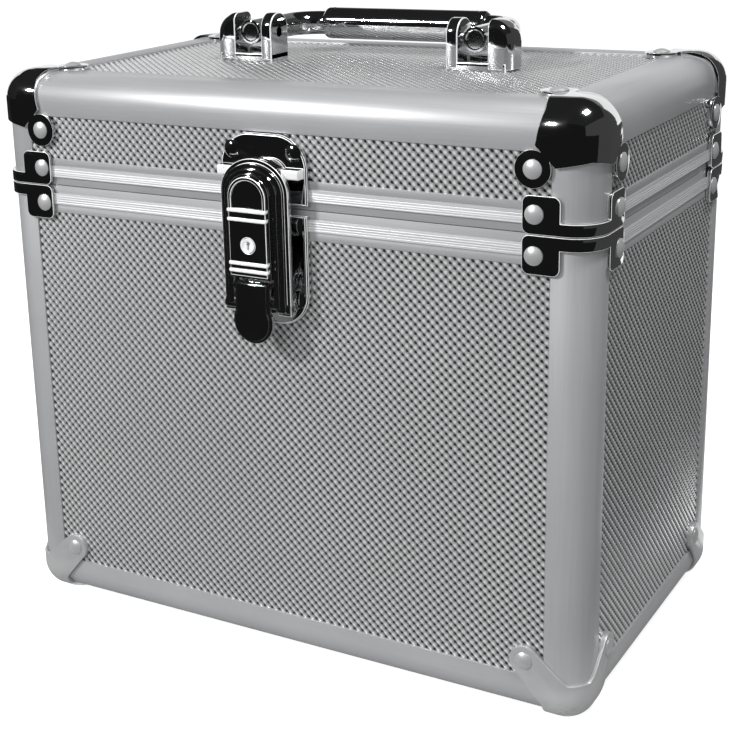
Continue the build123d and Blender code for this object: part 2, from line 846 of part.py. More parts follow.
with BuildPart() as latch_claw:
    with BuildSketch(walls["front"].offset(claw_back)) as claw_plate:
        add(claw_outline)
        fillet(claw_plate.vertices().group_by(Axis.Y)[0], claw_lug_radius)
        with Locations((0, claw_low_z)):
            Rectangle(
                2 * claw_slot_half,
                claw_slot_top - claw_low_z,
                align=(Align.CENTER, Align.MIN),
                mode=Mode.SUBTRACT,
            )
    extrude(amount=claw_thickness)
    with BuildSketch(walls["front"].offset(claw_hook_reach)):
        add(claw_outline)
        with Locations((0, hook_z)):
            Rectangle(
                claw_width, claw_arch_height, align=(Align.CENTER, Align.MIN), mode=Mode.INTERSECT
            )
    extrude(amount=claw_back - claw_hook_reach)
    with BuildSketch(walls["front"].offset(claw_front)):
        add(panel_outline)
    extrude(amount=claw_panel_proud)
    chamfer(latch_claw.faces().sort_by(Axis.Y)[0].edges(), claw_panel_bevel)
    arm_width = claw_width / 2 - claw_slot_half
    for side in (-1, 1):
        with BuildSketch(latch_side.offset(side * (claw_slot_half + arm_width / 2))):
            with Locations((claw_pin_out, claw_pin_z)):
                Circle(claw_lug_radius)
        extrude(amount=arm_width / 2, both=True)
    with BuildSketch(latch_side):
        with Locations((claw_pin_out, claw_pin_z)):
            Circle(claw_pin_radius + pin_running_gap)
    extrude(amount=claw_width, both=True, mode=Mode.SUBTRACT)
    low_rib_z = claw_slot_top + claw_low_rib_rise
    high_rib_z = key_z + claw_high_rib_rise
    rib_places = [
        low_rib_z,
        low_rib_z + claw_low_rib_pitch,
        high_rib_z,
        high_rib_z + claw_high_rib_pitch,
    ]
    with BuildSketch(walls["front"].offset(panel_front)):
        with Locations(*[(0, z) for z in rib_places]):
            Rectangle(claw_rib_width, claw_rib_height)
    extrude(amount=claw_rib_proud)
    with BuildSketch(walls["front"].offset(claw_back)):
        with Locations((0, key_z)):
            Circle(key_radius + key_play)
    extrude(amount=claw_thickness + claw_panel_proud, mode=Mode.SUBTRACT)
save(latch_claw, "latch_claw")

with BuildPart() as key_cylinder:
    with BuildSketch(walls["front"].offset(claw_back)):
        with Locations((0, key_z)):
            Circle(key_radius)
    extrude(amount=claw_thickness + claw_panel_proud + claw_rib_proud / 2)
    with BuildSketch(walls["front"].offset(panel_front + claw_rib_proud / 2)):
        with Locations((0, key_z)):
            Rectangle(key_slot_width, key_slot_length)
    extrude(amount=-key_slot_depth, mode=Mode.SUBTRACT)
save(key_cylinder, "key_cylinder")


# Handle

half_handle = handle_spacing / 2
with BuildPart() as handle:
    with BuildLine(Plane.XY.offset(pivot_z)) as handle_path:
        FilletPolyline(
            (-half_handle, mid_y - handle_tail),
            (-half_handle, mid_y + handle_leg),
            (half_handle, mid_y + handle_leg),
            (half_handle, mid_y - handle_tail),
            radius=handle_bend,
        )
    with BuildSketch(Plane(origin=handle_path.line @ 0, z_dir=handle_path.line % 0)):
        Circle(handle_rod_radius)
    sweep()
    chamfer(handle.faces().sort_by(Axis.Y)[:2].edges(), handle_end_bevel)
    with BuildSketch(Plane.YZ):
        with Locations((mid_y, pivot_z)):
            Circle(handle_pin_radius + pin_running_gap)
    extrude(amount=case_width / 2, both=True, mode=Mode.SUBTRACT)
save(handle, "handle")

with BuildPart() as handle_grip:
    with BuildSketch(Plane.YZ):
        with Locations((mid_y + handle_leg, pivot_z)):
            Circle(grip_radius)
    extrude(amount=grip_length / 2, both=True)
    chamfer(handle_grip.edges(), grip_bevel)
    with BuildSketch(Plane.YZ):
        with Locations((mid_y + handle_leg, pivot_z)):
            Circle(handle_rod_radius)
    extrude(amount=grip_length, both=True, mode=Mode.SUBTRACT)
save(handle_grip, "handle_grip")

channel_inner = half_handle - bracket_channel / 2
channel_outer = half_handle + bracket_channel / 2
bracket_inner = channel_inner - bracket_ear_thickness
bracket_outer = channel_outer + bracket_dome_thickness


def handle_bracket(side):
    """Ear, floor and domed outer cheek that hold one leg of the handle between them."""
    with BuildPart() as piece:
        with BuildSketch(Plane.XY.offset(case_top - panel_inset)) as floor_plan:
            with Locations((side * (bracket_inner + bracket_outer) / 2, mid_y)):
                Rectangle(bracket_outer - bracket_inner, bracket_depth)
            outer_corners = floor_plan.vertices().group_by(Axis.X)[-1 if side > 0 else 0]
            fillet(outer_corners, bracket_plan_round)
        extrude(amount=bracket_floor + panel_inset)
        with BuildSketch(Plane.XY.offset(case_top)) as cheek_plan:
            with Locations((side * (channel_outer + bracket_outer) / 2, mid_y)):
                Rectangle(bracket_dome_thickness, bracket_depth)
            outer_corners = cheek_plan.vertices().group_by(Axis.X)[-1 if side > 0 else 0]
            fillet(outer_corners, bracket_plan_round)
        extrude(amount=bracket_height)
        rim_edges = piece.faces().sort_by(Axis.Z)[-1].edges()
        outer_edges = rim_edges.sort_by(Axis.X, reverse=side < 0)
        fillet(outer_edges[1:], bracket_top_round)
        with BuildSketch(Plane.YZ.offset(side * (bracket_inner + bracket_ear_thickness / 2))):
            with Locations((mid_y, case_top + bracket_height - bracket_depth / 2)):
                Circle(bracket_depth / 2)
                Rectangle(
                    bracket_depth,
                    bracket_height - bracket_depth / 2,
                    align=(Align.CENTER, Align.MAX),
                )
        extrude(amount=bracket_ear_thickness / 2, both=True)
        with BuildSketch(Plane.YZ.offset(side * bracket_inner)):
            with Locations((mid_y, pivot_z)):
                Circle(handle_pin_radius)
        pin_length = bracket_outer - bracket_inner - bracket_dome_thickness / 2
        extrude(amount=side * pin_length, mode=Mode.SUBTRACT)
        with Locations(*[(x, y, case_top - panel_inset) for x, y in screw_places if x * side > 0]):
            Cylinder(
                bracket_screw_radius,
                bracket_screw_grip,
                align=(Align.CENTER, Align.CENTER, Align.MIN),
                mode=Mode.SUBTRACT,
            )
    return piece


save(handle_bracket(-1), "handle_bracket_left")
save(handle_bracket(1), "handle_bracket_right")

with BuildPart() as handle_pins:
    for side in (-1, 1):
        with BuildSketch(Plane.YZ.offset(side * bracket_inner)):
            with Locations((mid_y, pivot_z)):
                Circle(handle_pin_radius)
        extrude(amount=side * (bracket_outer - bracket_inner - bracket_dome_thickness / 2))
save(handle_pins, "handle_pins")

with BuildPart() as handle_screws:
    head_z = case_top - panel_inset - panel_thickness
    with Locations(*[(x, y, head_z) for x, y in screw_places]):
        Cylinder(
            bracket_screw_radius,
            panel_thickness + bracket_screw_grip,
            align=(Align.CENTER, Align.CENTER, Align.MIN),
        )
        Cylinder(
            bracket_screw_head_radius,
            bracket_screw_head_height,
            align=(Align.CENTER, Align.CENTER, Align.MAX),
        )
save(handle_screws, "handle_screws")


# Foam

foam_width = case_width - 2 * (band + foam_clearance)
foam_depth = case_depth - 2 * (band + foam_clearance)
foam_floor_z = frame_bottom + band
foam_block_z = foam_floor_z + foam_floor_thickness


def foam_sheet(low, thickness):
    """Plain foam that fills the case from wall to wall."""
    with BuildPart() as piece:
        with BuildSketch(Plane.XY.offset(low)) as outline:
            with Locations((0, mid_y)):
                Rectangle(foam_width, foam_depth)
            fillet(outline.vertices(), foam_corner_round)
        extrude(amount=thickness)
    return piece


save(foam_sheet(foam_floor_z, foam_floor_thickness), "foam_floor")

with BuildPart() as drive_foam:
    add(foam_sheet(foam_block_z, foam_block_height).part)
    with BuildSketch(Plane.XY.offset(foam_block_z)):
        with Locations((0, mid_y)):
            with GridLocations(drive_slot_pitch, 1, drive_slots, 1):
                Rectangle(drive_thickness + drive_play, drive_width + drive_play)
    extrude(amount=foam_block_height, mode=Mode.SUBTRACT)
save(drive_foam, "drive_foam")

lid_pad_top = case_top - band
with BuildPart() as lid_foam:
    add(foam_sheet(lid_pad_top - lid_pad_thickness, lid_pad_thickness).part)
    pocket_depth = bracket_screw_head_height - inner_skin + screw_pocket_play
    with Locations(*[(x, y, lid_pad_top) for x, y in screw_places]):
        Cylinder(
            bracket_screw_head_radius + screw_pocket_play,
            pocket_depth,
            align=(Align.CENTER, Align.CENTER, Align.MAX),
            mode=Mode.SUBTRACT,
        )
save(lid_foam, "lid_foam")
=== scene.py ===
"""The looks of an aluminium-framed case for bare hard drives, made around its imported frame.

Metres. Flat pieces are made lying down, with +Z as their outside, and then turned onto their wall.
"""
import json
import math

import bmesh
import bpy
from mathutils import Euler, Matrix, Vector

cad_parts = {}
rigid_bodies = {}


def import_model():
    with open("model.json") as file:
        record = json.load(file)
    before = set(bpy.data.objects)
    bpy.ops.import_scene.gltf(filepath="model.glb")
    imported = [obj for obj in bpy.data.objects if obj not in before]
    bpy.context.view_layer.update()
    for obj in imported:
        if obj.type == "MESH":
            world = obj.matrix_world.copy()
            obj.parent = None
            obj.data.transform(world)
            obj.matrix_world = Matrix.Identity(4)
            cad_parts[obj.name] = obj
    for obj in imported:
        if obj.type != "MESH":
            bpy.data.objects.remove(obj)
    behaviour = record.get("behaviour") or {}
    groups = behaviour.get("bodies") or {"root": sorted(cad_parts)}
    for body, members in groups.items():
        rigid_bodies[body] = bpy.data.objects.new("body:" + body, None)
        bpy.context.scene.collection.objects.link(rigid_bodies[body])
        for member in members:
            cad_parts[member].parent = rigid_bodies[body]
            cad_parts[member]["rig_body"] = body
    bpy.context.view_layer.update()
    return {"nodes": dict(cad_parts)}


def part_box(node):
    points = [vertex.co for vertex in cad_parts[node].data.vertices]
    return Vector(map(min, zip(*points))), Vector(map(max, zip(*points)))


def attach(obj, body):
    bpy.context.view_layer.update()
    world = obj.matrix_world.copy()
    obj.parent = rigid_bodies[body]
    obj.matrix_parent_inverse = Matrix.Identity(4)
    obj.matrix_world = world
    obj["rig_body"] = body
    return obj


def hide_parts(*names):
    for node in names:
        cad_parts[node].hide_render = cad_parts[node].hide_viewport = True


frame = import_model()

bl_info = {
    "name": "Hard drive case",
    "version": (1, 0, 0),
    "blender": (4, 5, 0),
    "location": "View3D > Sidebar > Drive Case",
    "description": "Embossed panels, drawn extrusions, plated fittings and foam for a drive case",
    "category": "Object",
}

MM = 0.001
WELD = 0.001 * MM
NEAR = 0.02 * MM

# Places read from the frame
LEFT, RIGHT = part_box("corner_posts")[0].x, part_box("corner_posts")[1].x
FRONT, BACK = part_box("corner_posts")[0].y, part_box("corner_posts")[1].y
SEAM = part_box("corner_posts")[1].z
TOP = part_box("lid_rail_front")[1].z
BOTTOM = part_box("base_rail_front")[0].z
MIDDLE_Y = (FRONT + BACK) / 2
SKIN_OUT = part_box("lower_seam_brackets")[1].x - RIGHT

# Each wall: where its face is, and how far it is turned from the front
WALLS = {
    "front": (Vector((0, FRONT, 0)), 0.0),
    "right": (Vector((RIGHT, MIDDLE_Y, 0)), 90.0),
    "back": (Vector((0, BACK, 0)), 180.0),
    "left": (Vector((LEFT, MIDDLE_Y, 0)), 270.0),
}
HALF_ACROSS = {
    "front": RIGHT,
    "back": RIGHT,
    "left": (BACK - FRONT) / 2,
    "right": (BACK - FRONT) / 2,
}


# Sizes and colours that a user would change


class CaseShape(bpy.types.PropertyGroup):
    """Sizes of the details that are made here."""

    emboss_pitch: bpy.props.FloatProperty(
        name="Emboss pitch",
        description="Width of one square of the embossing, which holds two studs",
        default=3.3 * MM,
        subtype="DISTANCE",
    )
    emboss_height: bpy.props.FloatProperty(
        name="Emboss height",
        description="Height of a stud above the pits beside it",
        default=0.85 * MM,
        subtype="DISTANCE",
    )
    edge_round: bpy.props.FloatProperty(
        name="Edge round",
        description="Round on the edges of plated fittings",
        default=0.35 * MM,
        subtype="DISTANCE",
    )
    lip_round: bpy.props.FloatProperty(
        name="Lip round",
        description="Round on the thin lips of the extrusions",
        default=0.2 * MM,
        subtype="DISTANCE",
    )
    groove_depth: bpy.props.FloatProperty(
        name="Groove depth",
        description="Depth of the fine lines along the rims",
        default=0.16 * MM,
        subtype="DISTANCE",
    )
    rivet_radius: bpy.props.FloatProperty(
        name="Rivet radius",
        description="Radius of a rivet's head",
        default=3.2 * MM,
        subtype="DISTANCE",
    )
    rivet_height: bpy.props.FloatProperty(
        name="Rivet height",
        description="Height of a rivet's head above its seat",
        default=1.3 * MM,
        subtype="DISTANCE",
    )


class CaseFinish(bpy.types.PropertyGroup):
    """Colours of the finishes."""

    anodised: bpy.props.FloatVectorProperty(
        name="Extrusions",
        description="Colour of the anodised extrusions",
        default=(0.46, 0.465, 0.475),
        subtype="COLOR",
    )
    sheet: bpy.props.FloatVectorProperty(
        name="Embossed sheet",
        description="Colour of the embossed sheet",
        default=(0.62, 0.625, 0.63),
        subtype="COLOR",
    )
    chrome: bpy.props.FloatVectorProperty(
        name="Bright plate",
        description="Colour of the bright plated fittings",
        default=(0.70, 0.705, 0.71),
        subtype="COLOR",
    )
    satin: bpy.props.FloatVectorProperty(
        name="Satin plate",
        description="Colour of the corners at the base",
        default=(0.52, 0.525, 0.53),
        subtype="COLOR",
    )
    foam: bpy.props.FloatVectorProperty(
        name="Foam",
        description="Colour of the foam",
        default=(0.035, 0.036, 0.04),
        subtype="COLOR",
    )
    floor: bpy.props.FloatVectorProperty(
        name="Floor",
        description="Colour of the floor",
        default=(0.50, 0.50, 0.50),
        subtype="COLOR",
    )


def shape():
    """The sizes of this scene."""
    return bpy.context.scene.case_shape


def finish_colours():
    """The colours of this scene."""
    return bpy.context.scene.case_finish


# Materials


class Amount:
    """A value in a material's nodes that can be written in sums."""

    def __init__(self, finish, socket):
        self.finish = finish
        self.socket = socket

    def sum(self, operation, first, second):
        settings = {"operation": operation}
        return self.finish.node("ShaderNodeMath", settings, {0: first, 1: second})

    def __add__(self, other):
        return self.sum("ADD", self, other)

    def __radd__(self, other):
        return self.sum("ADD", other, self)

    def __sub__(self, other):
        return self.sum("SUBTRACT", self, other)

    def __rsub__(self, other):
        return self.sum("SUBTRACT", other, self)

    def __mul__(self, other):
        return self.sum("MULTIPLY", self, other)

    def cosine(self):
        """The cosine of this amount."""
        return self.finish.node("ShaderNodeMath", {"operation": "COSINE"}, {0: self})

    def most(self, other):
        """The larger of two amounts."""
        return self.sum("MAXIMUM", self, other)

    def between(self, low, high):
        """0 below low, 1 above high and a smooth step from one to the other."""
        settings = {"interpolation_type": "SMOOTHSTEP"}
        inputs = {"Value": self, "From Min": low, "From Max": high}
        return self.finish.node("ShaderNodeMapRange", settings, inputs)


class Finish:
    """One material and the nodes that make it."""

    def __init__(self, name):
        self.material = bpy.data.materials.new(name)
        self.material.use_nodes = True
        self.tree = self.material.node_tree
        self.tree.nodes.clear()

    def node(self, kind, settings=None, inputs=None, output=0):
        """Add a node with its settings and inputs, and return one of its outputs."""
        made = self.tree.nodes.new(kind)
        for key, value in (settings or {}).items():
            setattr(made, key, value)
        for key, value in (inputs or {}).items():
            if isinstance(value, Amount):
                self.tree.links.new(value.socket, made.inputs[key])
            else:
                made.inputs[key].default_value = value
        return Amount(self, made.outputs[output])

    def place(self, stretch=(1.0, 1.0, 1.0)):
        """Place on the piece, in metres, stretched along each axis."""
        where = self.node("ShaderNodeTexCoord", output=3)
        return self.node("ShaderNodeMapping", None, {"Vector": where, "Scale": stretch})

    def noise(self, size, detail=2.0, stretch=(1.0, 1.0, 1.0)):
        """Cloudy noise with features of about this size in metres."""
        inputs = {"Vector": self.place(stretch), "Scale": 1 / size, "Detail": detail}
        return self.node("ShaderNodeTexNoise", None, inputs)

    def blend(self, amount, first, second):
        """Mix two colours by an amount."""
        inputs = {0: amount, 6: colour(first), 7: colour(second)}
        return self.node("ShaderNodeMix", {"data_type": "RGBA"}, inputs, 2)

    def bump(self, height, distance, strength=1.0):
        """Normal of a surface raised by a height."""
        inputs = {"Height": height, "Distance": distance, "Strength": strength}
        return self.node("ShaderNodeBump", None, inputs)

    def surface(self, **inputs):
        """Finish the material with these inputs of the main shader."""
        named = {key.replace("_", " "): value for key, value in inputs.items()}
        shader = self.node("ShaderNodeBsdfPrincipled", None, named)
        return self.shown_as(shader)

    def shown_as(self, shader):
        """Let a shader be the material's surface."""
        end = self.tree.nodes.new("ShaderNodeOutputMaterial")
        self.tree.links.new(shader.socket, end.inputs["Surface"])
        return self.material


def colour(value):
    """A plain colour with its alpha, or a node's colour as it is."""
    return value if isinstance(value, Amount) else (*value, 1.0)


def shade(value, factor):
    """The same hue, lighter or darker."""
    return tuple(part * factor for part in value)


def drawn_aluminium(name, along):
    """Anodised extrusion with fine lines drawn along its length, and a painted highlight on the
    raised band of a rim.
    """
    finish = Finish(name)
    line_stretch = [60.0, 60.0, 60.0]
    line_stretch["xyz".index(along)] = 0.6
    lines = finish.noise(60 * 0.3 * MM, 3.0, line_stretch)
    clouds = finish.noise(45 * MM, 2.0)
    grain = finish.noise(0.25 * MM, 2.0)
    tint = (lines * 0.5 + clouds * 0.5).between(0.3, 0.7)
    painted_band_highlight = finish.node("ShaderNodeAttribute", {"attribute_name": "painted_band_highlight"}, None, 2)
    base = finish_colours().anodised
    plain = finish.blend(tint, shade(base, 0.93), shade(base, 1.04))
    return finish.surface(
        # The raised band of the rims is painted 1.5 times lighter: a painted highlight
        Base_Color=finish.blend(painted_band_highlight, plain, shade(base, 1.5)),
        Metallic=0.55,
        Roughness=0.34 + lines * 0.10 + clouds * 0.06,
        Normal=finish.bump(lines * 0.6 + grain * 0.4, 0.012 * MM),
    )


def embossed_aluminium():
    """Embossed sheet with a painted highlight on the studs, painted shade along the valleys and
    near-black painted shade in the pits.
    """
    finish = Finish("embossed_aluminium")
    squares = finish.node("ShaderNodeAttribute", {"attribute_name": "squares"}, None, 1)
    across, along = (finish.node("ShaderNodeSeparateXYZ", None, {0: squares}, i) for i in (0, 1))
    over_valleys = ((across + along) * math.tau).cosine()
    down_valleys = ((across - along) * math.tau).cosine()
    height = 0.5 + over_valleys * 0.31 + down_valleys * 0.19
    flat = finish.node("ShaderNodeAttribute", {"attribute_name": "border"}, None, 2)
    # Mask that is 0 in the pits, where near-black painted shade goes, and 1 on the studs and the
    # flat border
    unshaded_unscuffed = height.between(0.03, 0.56).most(flat)
    clouds = finish.noise(60 * MM, 3.0)
    grain = finish.noise(0.35 * MM, 2.0)
    # Stud tops painted up to 1.45 times lighter and valleys 0.84 times darker: painted highlight
    # and painted shade
    stud_highlight_mask = (height - 0.1 + clouds * 0.2).between(0.6, 0.95)
    base = finish_colours().sheet
    studs = finish.blend(stud_highlight_mask, shade(base, 0.84), shade(base, 1.45))
    return finish.surface(
        Base_Color=finish.blend(unshaded_unscuffed, shade(base, 0.03), studs),
        Metallic=0.6,
        Roughness=0.38 - unshaded_unscuffed * 0.2 + grain * 0.06,
        Normal=finish.bump(grain, 0.01 * MM),
    )


def bright_plate():
    """Bright plating with a faint haze and hairline marks."""
    finish = Finish("bright_plate")
    haze = finish.noise(14 * MM, 3.0).between(0.35, 0.75)
    marks = finish.noise(1.2 * MM, 3.0, (0.12, 1.0, 1.0)).between(0.62, 0.72)
    waves = finish.noise(9 * MM, 1.0)
    base = finish_colours().chrome
    return finish.surface(
        Base_Color=finish.blend(haze, shade(base, 1.0), shade(base, 0.92)),
        Metallic=1.0,
        Roughness=0.05 + haze * 0.05 + marks * 0.06,
        Normal=finish.bump(waves, 0.03 * MM),
    )


def painted_edge_highlight_plate():
    """Bright plating painted lighter on edges and ridges, less metallic and rougher: a painted
    highlight, mottled at random.
    """
    finish = Finish("painted_edge_highlight_plate")
    highlight_mottle = finish.noise(6 * MM, 2.0).between(0.3, 0.7)
    base = finish_colours().chrome
    return finish.surface(
        # Base colour 1.25 to 1.38 times the plating's: a painted highlight
        Base_Color=finish.blend(highlight_mottle, shade(base, 1.38), shade(base, 1.25)),
        Metallic=0.4,
        Roughness=0.24 + highlight_mottle * 0.06,
    )


def satin_plate():
    """Satin plating of the corners that the case stands on, scuffed low down."""
    finish = Finish("satin_plate")
    grain = finish.noise(0.3 * MM, 2.0)
    clouds = finish.noise(20 * MM, 2.0)
    height = finish.node("ShaderNodeSeparateXYZ", None, {0: finish.place()}, 2)
    scuffs = finish.noise(1.6 * MM, 4.0).between(0.5, 0.7) * (1 - height.between(0.0, 0.012))
    base = finish_colours().satin
    unshaded_unscuffed = finish.blend(clouds.between(0.3, 0.7), shade(base, 0.95), shade(base, 1.04))
    return finish.surface(
        Base_Color=finish.blend(scuffs, unshaded_unscuffed, shade(base, 0.72)),
        Metallic=0.6,
        Roughness=0.34 + grain * 0.08 + scuffs * 0.12,
        Normal=finish.bump(grain - scuffs * 0.5, 0.015 * MM),
    )


def plain_steel():
    """Turned steel of pins and screws."""
    finish = Finish("plain_steel")
    turning = finish.noise(0.4 * MM, 2.0, (1.0, 0.15, 0.15))
    base = finish_colours().satin
    return finish.surface(
        Base_Color=finish.blend(turning, shade(base, 0.75), shade(base, 0.9)),
        Metallic=1.0,
        Roughness=0.25 + turning * 0.15,
        Normal=finish.bump(turning, 0.01 * MM),
    )


def open_cell_foam():
    """Charcoal foam with open cells."""
    finish = Finish("open_cell_foam")
    inputs = {"Vector": finish.place(), "Scale": 1 / (1.1 * MM), "Randomness": 1.0}
    cells = finish.node("ShaderNodeTexVoronoi", None, inputs)
    pores = cells.between(0.15, 0.55)
    tone = finish.noise(25 * MM, 3.0).between(0.3, 0.7)
    base = finish_colours().foam
    walls = finish.blend(tone, shade(base, 0.85), shade(base, 1.3))
    return finish.surface(
        # Pores are 0.4 times darker than the cell walls: painted shade inside the open cells
        Base_Color=finish.blend(pores, shade(base, 0.4), walls),
        Roughness=0.92 + tone * 0.05,
        Normal=finish.bump(pores, 0.5 * MM),
        Sheen_Weight=0.25,
    )


MATERIALS = {}


def material(name):
    """The named material, made when it is first asked for."""
    makers = {
        "drawn_x": lambda: drawn_aluminium("drawn_aluminium_x", "x"),
        "drawn_y": lambda: drawn_aluminium("drawn_aluminium_y", "y"),
        "drawn_z": lambda: drawn_aluminium("drawn_aluminium_z", "z"),
        "embossed": embossed_aluminium,
        "bright": bright_plate,
        "painted_edge_highlight": painted_edge_highlight_plate,
        "satin": satin_plate,
        "steel": plain_steel,
        "foam": open_cell_foam,
    }
    if name not in MATERIALS:
        MATERIALS[name] = makers[name]()
    return MATERIALS[name]


# Working by hand: selecting, editing and placing


def work_on(*objects):
    """Select these objects alone, the last one active."""
    if bpy.context.object and bpy.context.object.mode != "OBJECT":
        bpy.ops.object.mode_set(mode="OBJECT")
    bpy.ops.object.select_all(action="DESELECT")
    for obj in objects:
        obj.select_set(True)
    bpy.context.view_layer.objects.active = objects[-1]


def deselect():
    """Leave nothing selected, so that a new primitive stands alone."""
    bpy.ops.object.select_all(action="DESELECT")


def new_piece(name):
    """Name the primitive that was just added and put its place into its mesh."""
    piece = bpy.context.object
    piece.name = name
    piece.data.name = name
    bpy.ops.object.transform_apply(location=True, rotation=True, scale=True)
    return piece


def editing(piece, kind="FACE"):
    """Open a piece in edit mode with nothing selected."""
    work_on(piece)
    bpy.ops.object.mode_set(mode="EDIT")
    bpy.ops.mesh.select_mode(type=kind)
    bpy.ops.mesh.select_all(action="DESELECT")


def edited():
    """Close edit mode."""
    bpy.ops.object.mode_set(mode="OBJECT")


def pick(piece, kind, test):
    """In edit mode, select exactly the vertices, edges or faces that pass a test."""
    bpy.ops.mesh.select_mode(type=kind)
    bpy.ops.mesh.select_all(action="DESELECT")
    mesh = bmesh.from_edit_mesh(piece.data)
    parts = {"VERT": mesh.verts, "EDGE": mesh.edges, "FACE": mesh.faces}[kind]
    for part in parts:
        part.select_set(bool(test(part)))
    mesh.select_flush_mode()
    bmesh.update_edit_mesh(piece.data)


def pick_outer_face(piece):
    """Select the flat faces that lie furthest out."""
    mesh = bmesh.from_edit_mesh(piece.data)
    out = max(vertex.co.z for vertex in mesh.verts)
    pick(piece, "FACE", lambda face: all(abs(v.co.z - out) < NEAR for v in face.verts))


def extrude(distance):
    """Pull the selected faces outwards."""
    bpy.ops.mesh.extrude_region_move(TRANSFORM_OT_translate={"value": (0, 0, distance)})


def inset(thickness, depth=0.0):
    """Inset the selected faces, raised by a depth."""
    bpy.ops.mesh.inset(thickness=thickness, depth=depth)


def slice_through(place, normal, **kept):
    """Cut everything through with a plane."""
    bpy.ops.mesh.select_all(action="SELECT")
    bpy.ops.mesh.bisect(plane_co=place, plane_no=normal, threshold=WELD, **kept)


def apply_modifier(piece, kind, **settings):
    """Add a modifier, set it and apply it."""
    work_on(piece)
    bpy.ops.object.modifier_add(type=kind)
    modifier = piece.modifiers[-1]
    for key, value in settings.items():
        setattr(modifier, key, value)
    bpy.ops.object.modifier_apply(modifier=modifier.name)


def coat(piece, *finishes):
    """Give a piece its finish, and a second one for the edges that are rounded next."""
    piece.data.materials.clear()
    for finish in finishes:
        piece.data.materials.append(material(finish))


def coat_faces(piece, number, test):
    """Give the faces that pass a test the piece's finish of this number."""
    for face in piece.data.polygons:
        if test(face):
            face.material_index = number


def round_edges(piece, width, segments=2, angle=40.0):
    """Round every edge that is sharper than an angle."""
    apply_modifier(
        piece,
        "BEVEL",
        width=width,
        segments=segments,
        limit_method="ANGLE",
        angle_limit=math.radians(angle),
        # The rounded faces take the piece's second finish, which on plated fittings is the painted
        # edge highlight
        material=1 if len(piece.data.materials) > 1 else -1,
    )


def smooth(piece, angle=35.0):
    """Weld, face outwards and shade smoothly up to an angle."""
    editing(piece)
    bpy.ops.mesh.select_all(action="SELECT")
    bpy.ops.mesh.remove_doubles(threshold=WELD)
    bpy.ops.mesh.normals_make_consistent(inside=False)
    edited()
    bpy.ops.object.shade_smooth_by_angle(angle=math.radians(angle))


def join(name, *pieces):
    """Join pieces into one object."""
    work_on(*pieces)
    bpy.ops.object.join()
    joined = bpy.context.object
    joined.name = name
    joined.data.name = name
    return joined


def cut(piece, *cutters):
    """Cut solids out of a piece."""
    for cutter in cutters:
        apply_modifier(piece, "BOOLEAN", operation="DIFFERENCE", solver="EXACT", object=cutter)
        bpy.data.objects.remove(cutter)


def turned(piece, turn):
    """Move a piece by a matrix and keep its place in its mesh."""
    work_on(piece)
    piece.matrix_world = turn
    bpy.ops.object.transform_apply(location=True, rotation=True, scale=True)
    return piece


def wall_turn(wall):
    """Matrix that takes a piece made lying down to its wall: across, height, out."""
    origin, angle = WALLS[wall]
    upright = Matrix.Rotation(math.radians(90), 4, "X")
    return Matrix.Translation(origin) @ Matrix.Rotation(math.radians(angle), 4, "Z") @ upright


def copied(piece, name, turn):
    """Another of a piece with its own mesh, moved by a matrix."""
    work_on(piece)
    bpy.ops.object.duplicate()
    twin = bpy.context.object
    twin.name = name
    return turned(twin, turn)


def finished(piece, body, slot_name, *nodes):
    """Give a piece its body, and let it stand for its nodes by hiding them. The slot name is not
    used.
    """
    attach(piece, body)
    if nodes:
        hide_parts(*nodes)
    return piece


def repaint(node, finish):
    """Give a node of the frame its finish."""
    for slot in frame["nodes"][node].material_slots:
        slot.material = material(finish)


def node_copy(node, name):
    """A welded copy of a node's mesh, with its flat faces whole again."""
    piece = bpy.data.objects.new(name, frame["nodes"][node].data.copy())
    bpy.context.scene.collection.objects.link(piece)
    work_on(piece)
    bpy.ops.mesh.customdata_custom_splitnormals_clear()
    editing(piece)
    bpy.ops.mesh.select_all(action="SELECT")
    bpy.ops.mesh.remove_doubles(threshold=WELD)
    bpy.ops.mesh.dissolve_limited(angle_limit=math.radians(0.4))
    edited()
    return piece


def body_of(node):
    """The body that a node belongs to."""
    return frame["nodes"][node]["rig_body"]


def dressed(node, slot_name, edge, *finishes):
    """A node's own shape with rounded edges, in place of the node."""
    piece = node_copy(node, f"{node}_skin")
    coat(piece, *finishes)
    round_edges(piece, edge)
    smooth(piece)
    return finished(piece, body_of(node), slot_name, node)


# Panels


PIT, VALLEY, SLOPE, STUD = 0.0, 0.22, 0.6, 1.0


def relief_height(place):
    """Height of the embossing at a quarter point of its square.

    Studs stand on the corners and in the middle, and valleys run down to the right between them.
    """
    quarter = shape().emboss_pitch / 4
    across, along = round(place.x / quarter), round(place.y / quarter)
    if across % 2 and along % 2:
        return VALLEY if across == along else SLOPE
    if across % 2 or along % 2:
        return SLOPE
    return STUD if (across // 2 + along // 2) % 2 == 0 else PIT


def emboss_square():
    """One square of the embossing."""
    deselect()
    pitch = shape().emboss_pitch
    bpy.ops.mesh.primitive_plane_add(size=pitch, location=(pitch / 2, pitch / 2, 0))
    square = new_piece("emboss_square")
    editing(square)
    bpy.ops.mesh.select_all(action="SELECT")
    bpy.ops.mesh.subdivide(number_cuts=3)
    for height in (VALLEY, SLOPE, STUD):
        pick(square, "VERT", lambda vertex: relief_height(vertex.co) == height)
        bpy.ops.transform.translate(value=(0, 0, height * shape().emboss_height))
    bpy.ops.mesh.select_all(action="SELECT")
    bpy.ops.mesh.quads_convert_to_tris(quad_method="FIXED_ALTERNATE", ngon_method="BEAUTY")
    edited()
    return square


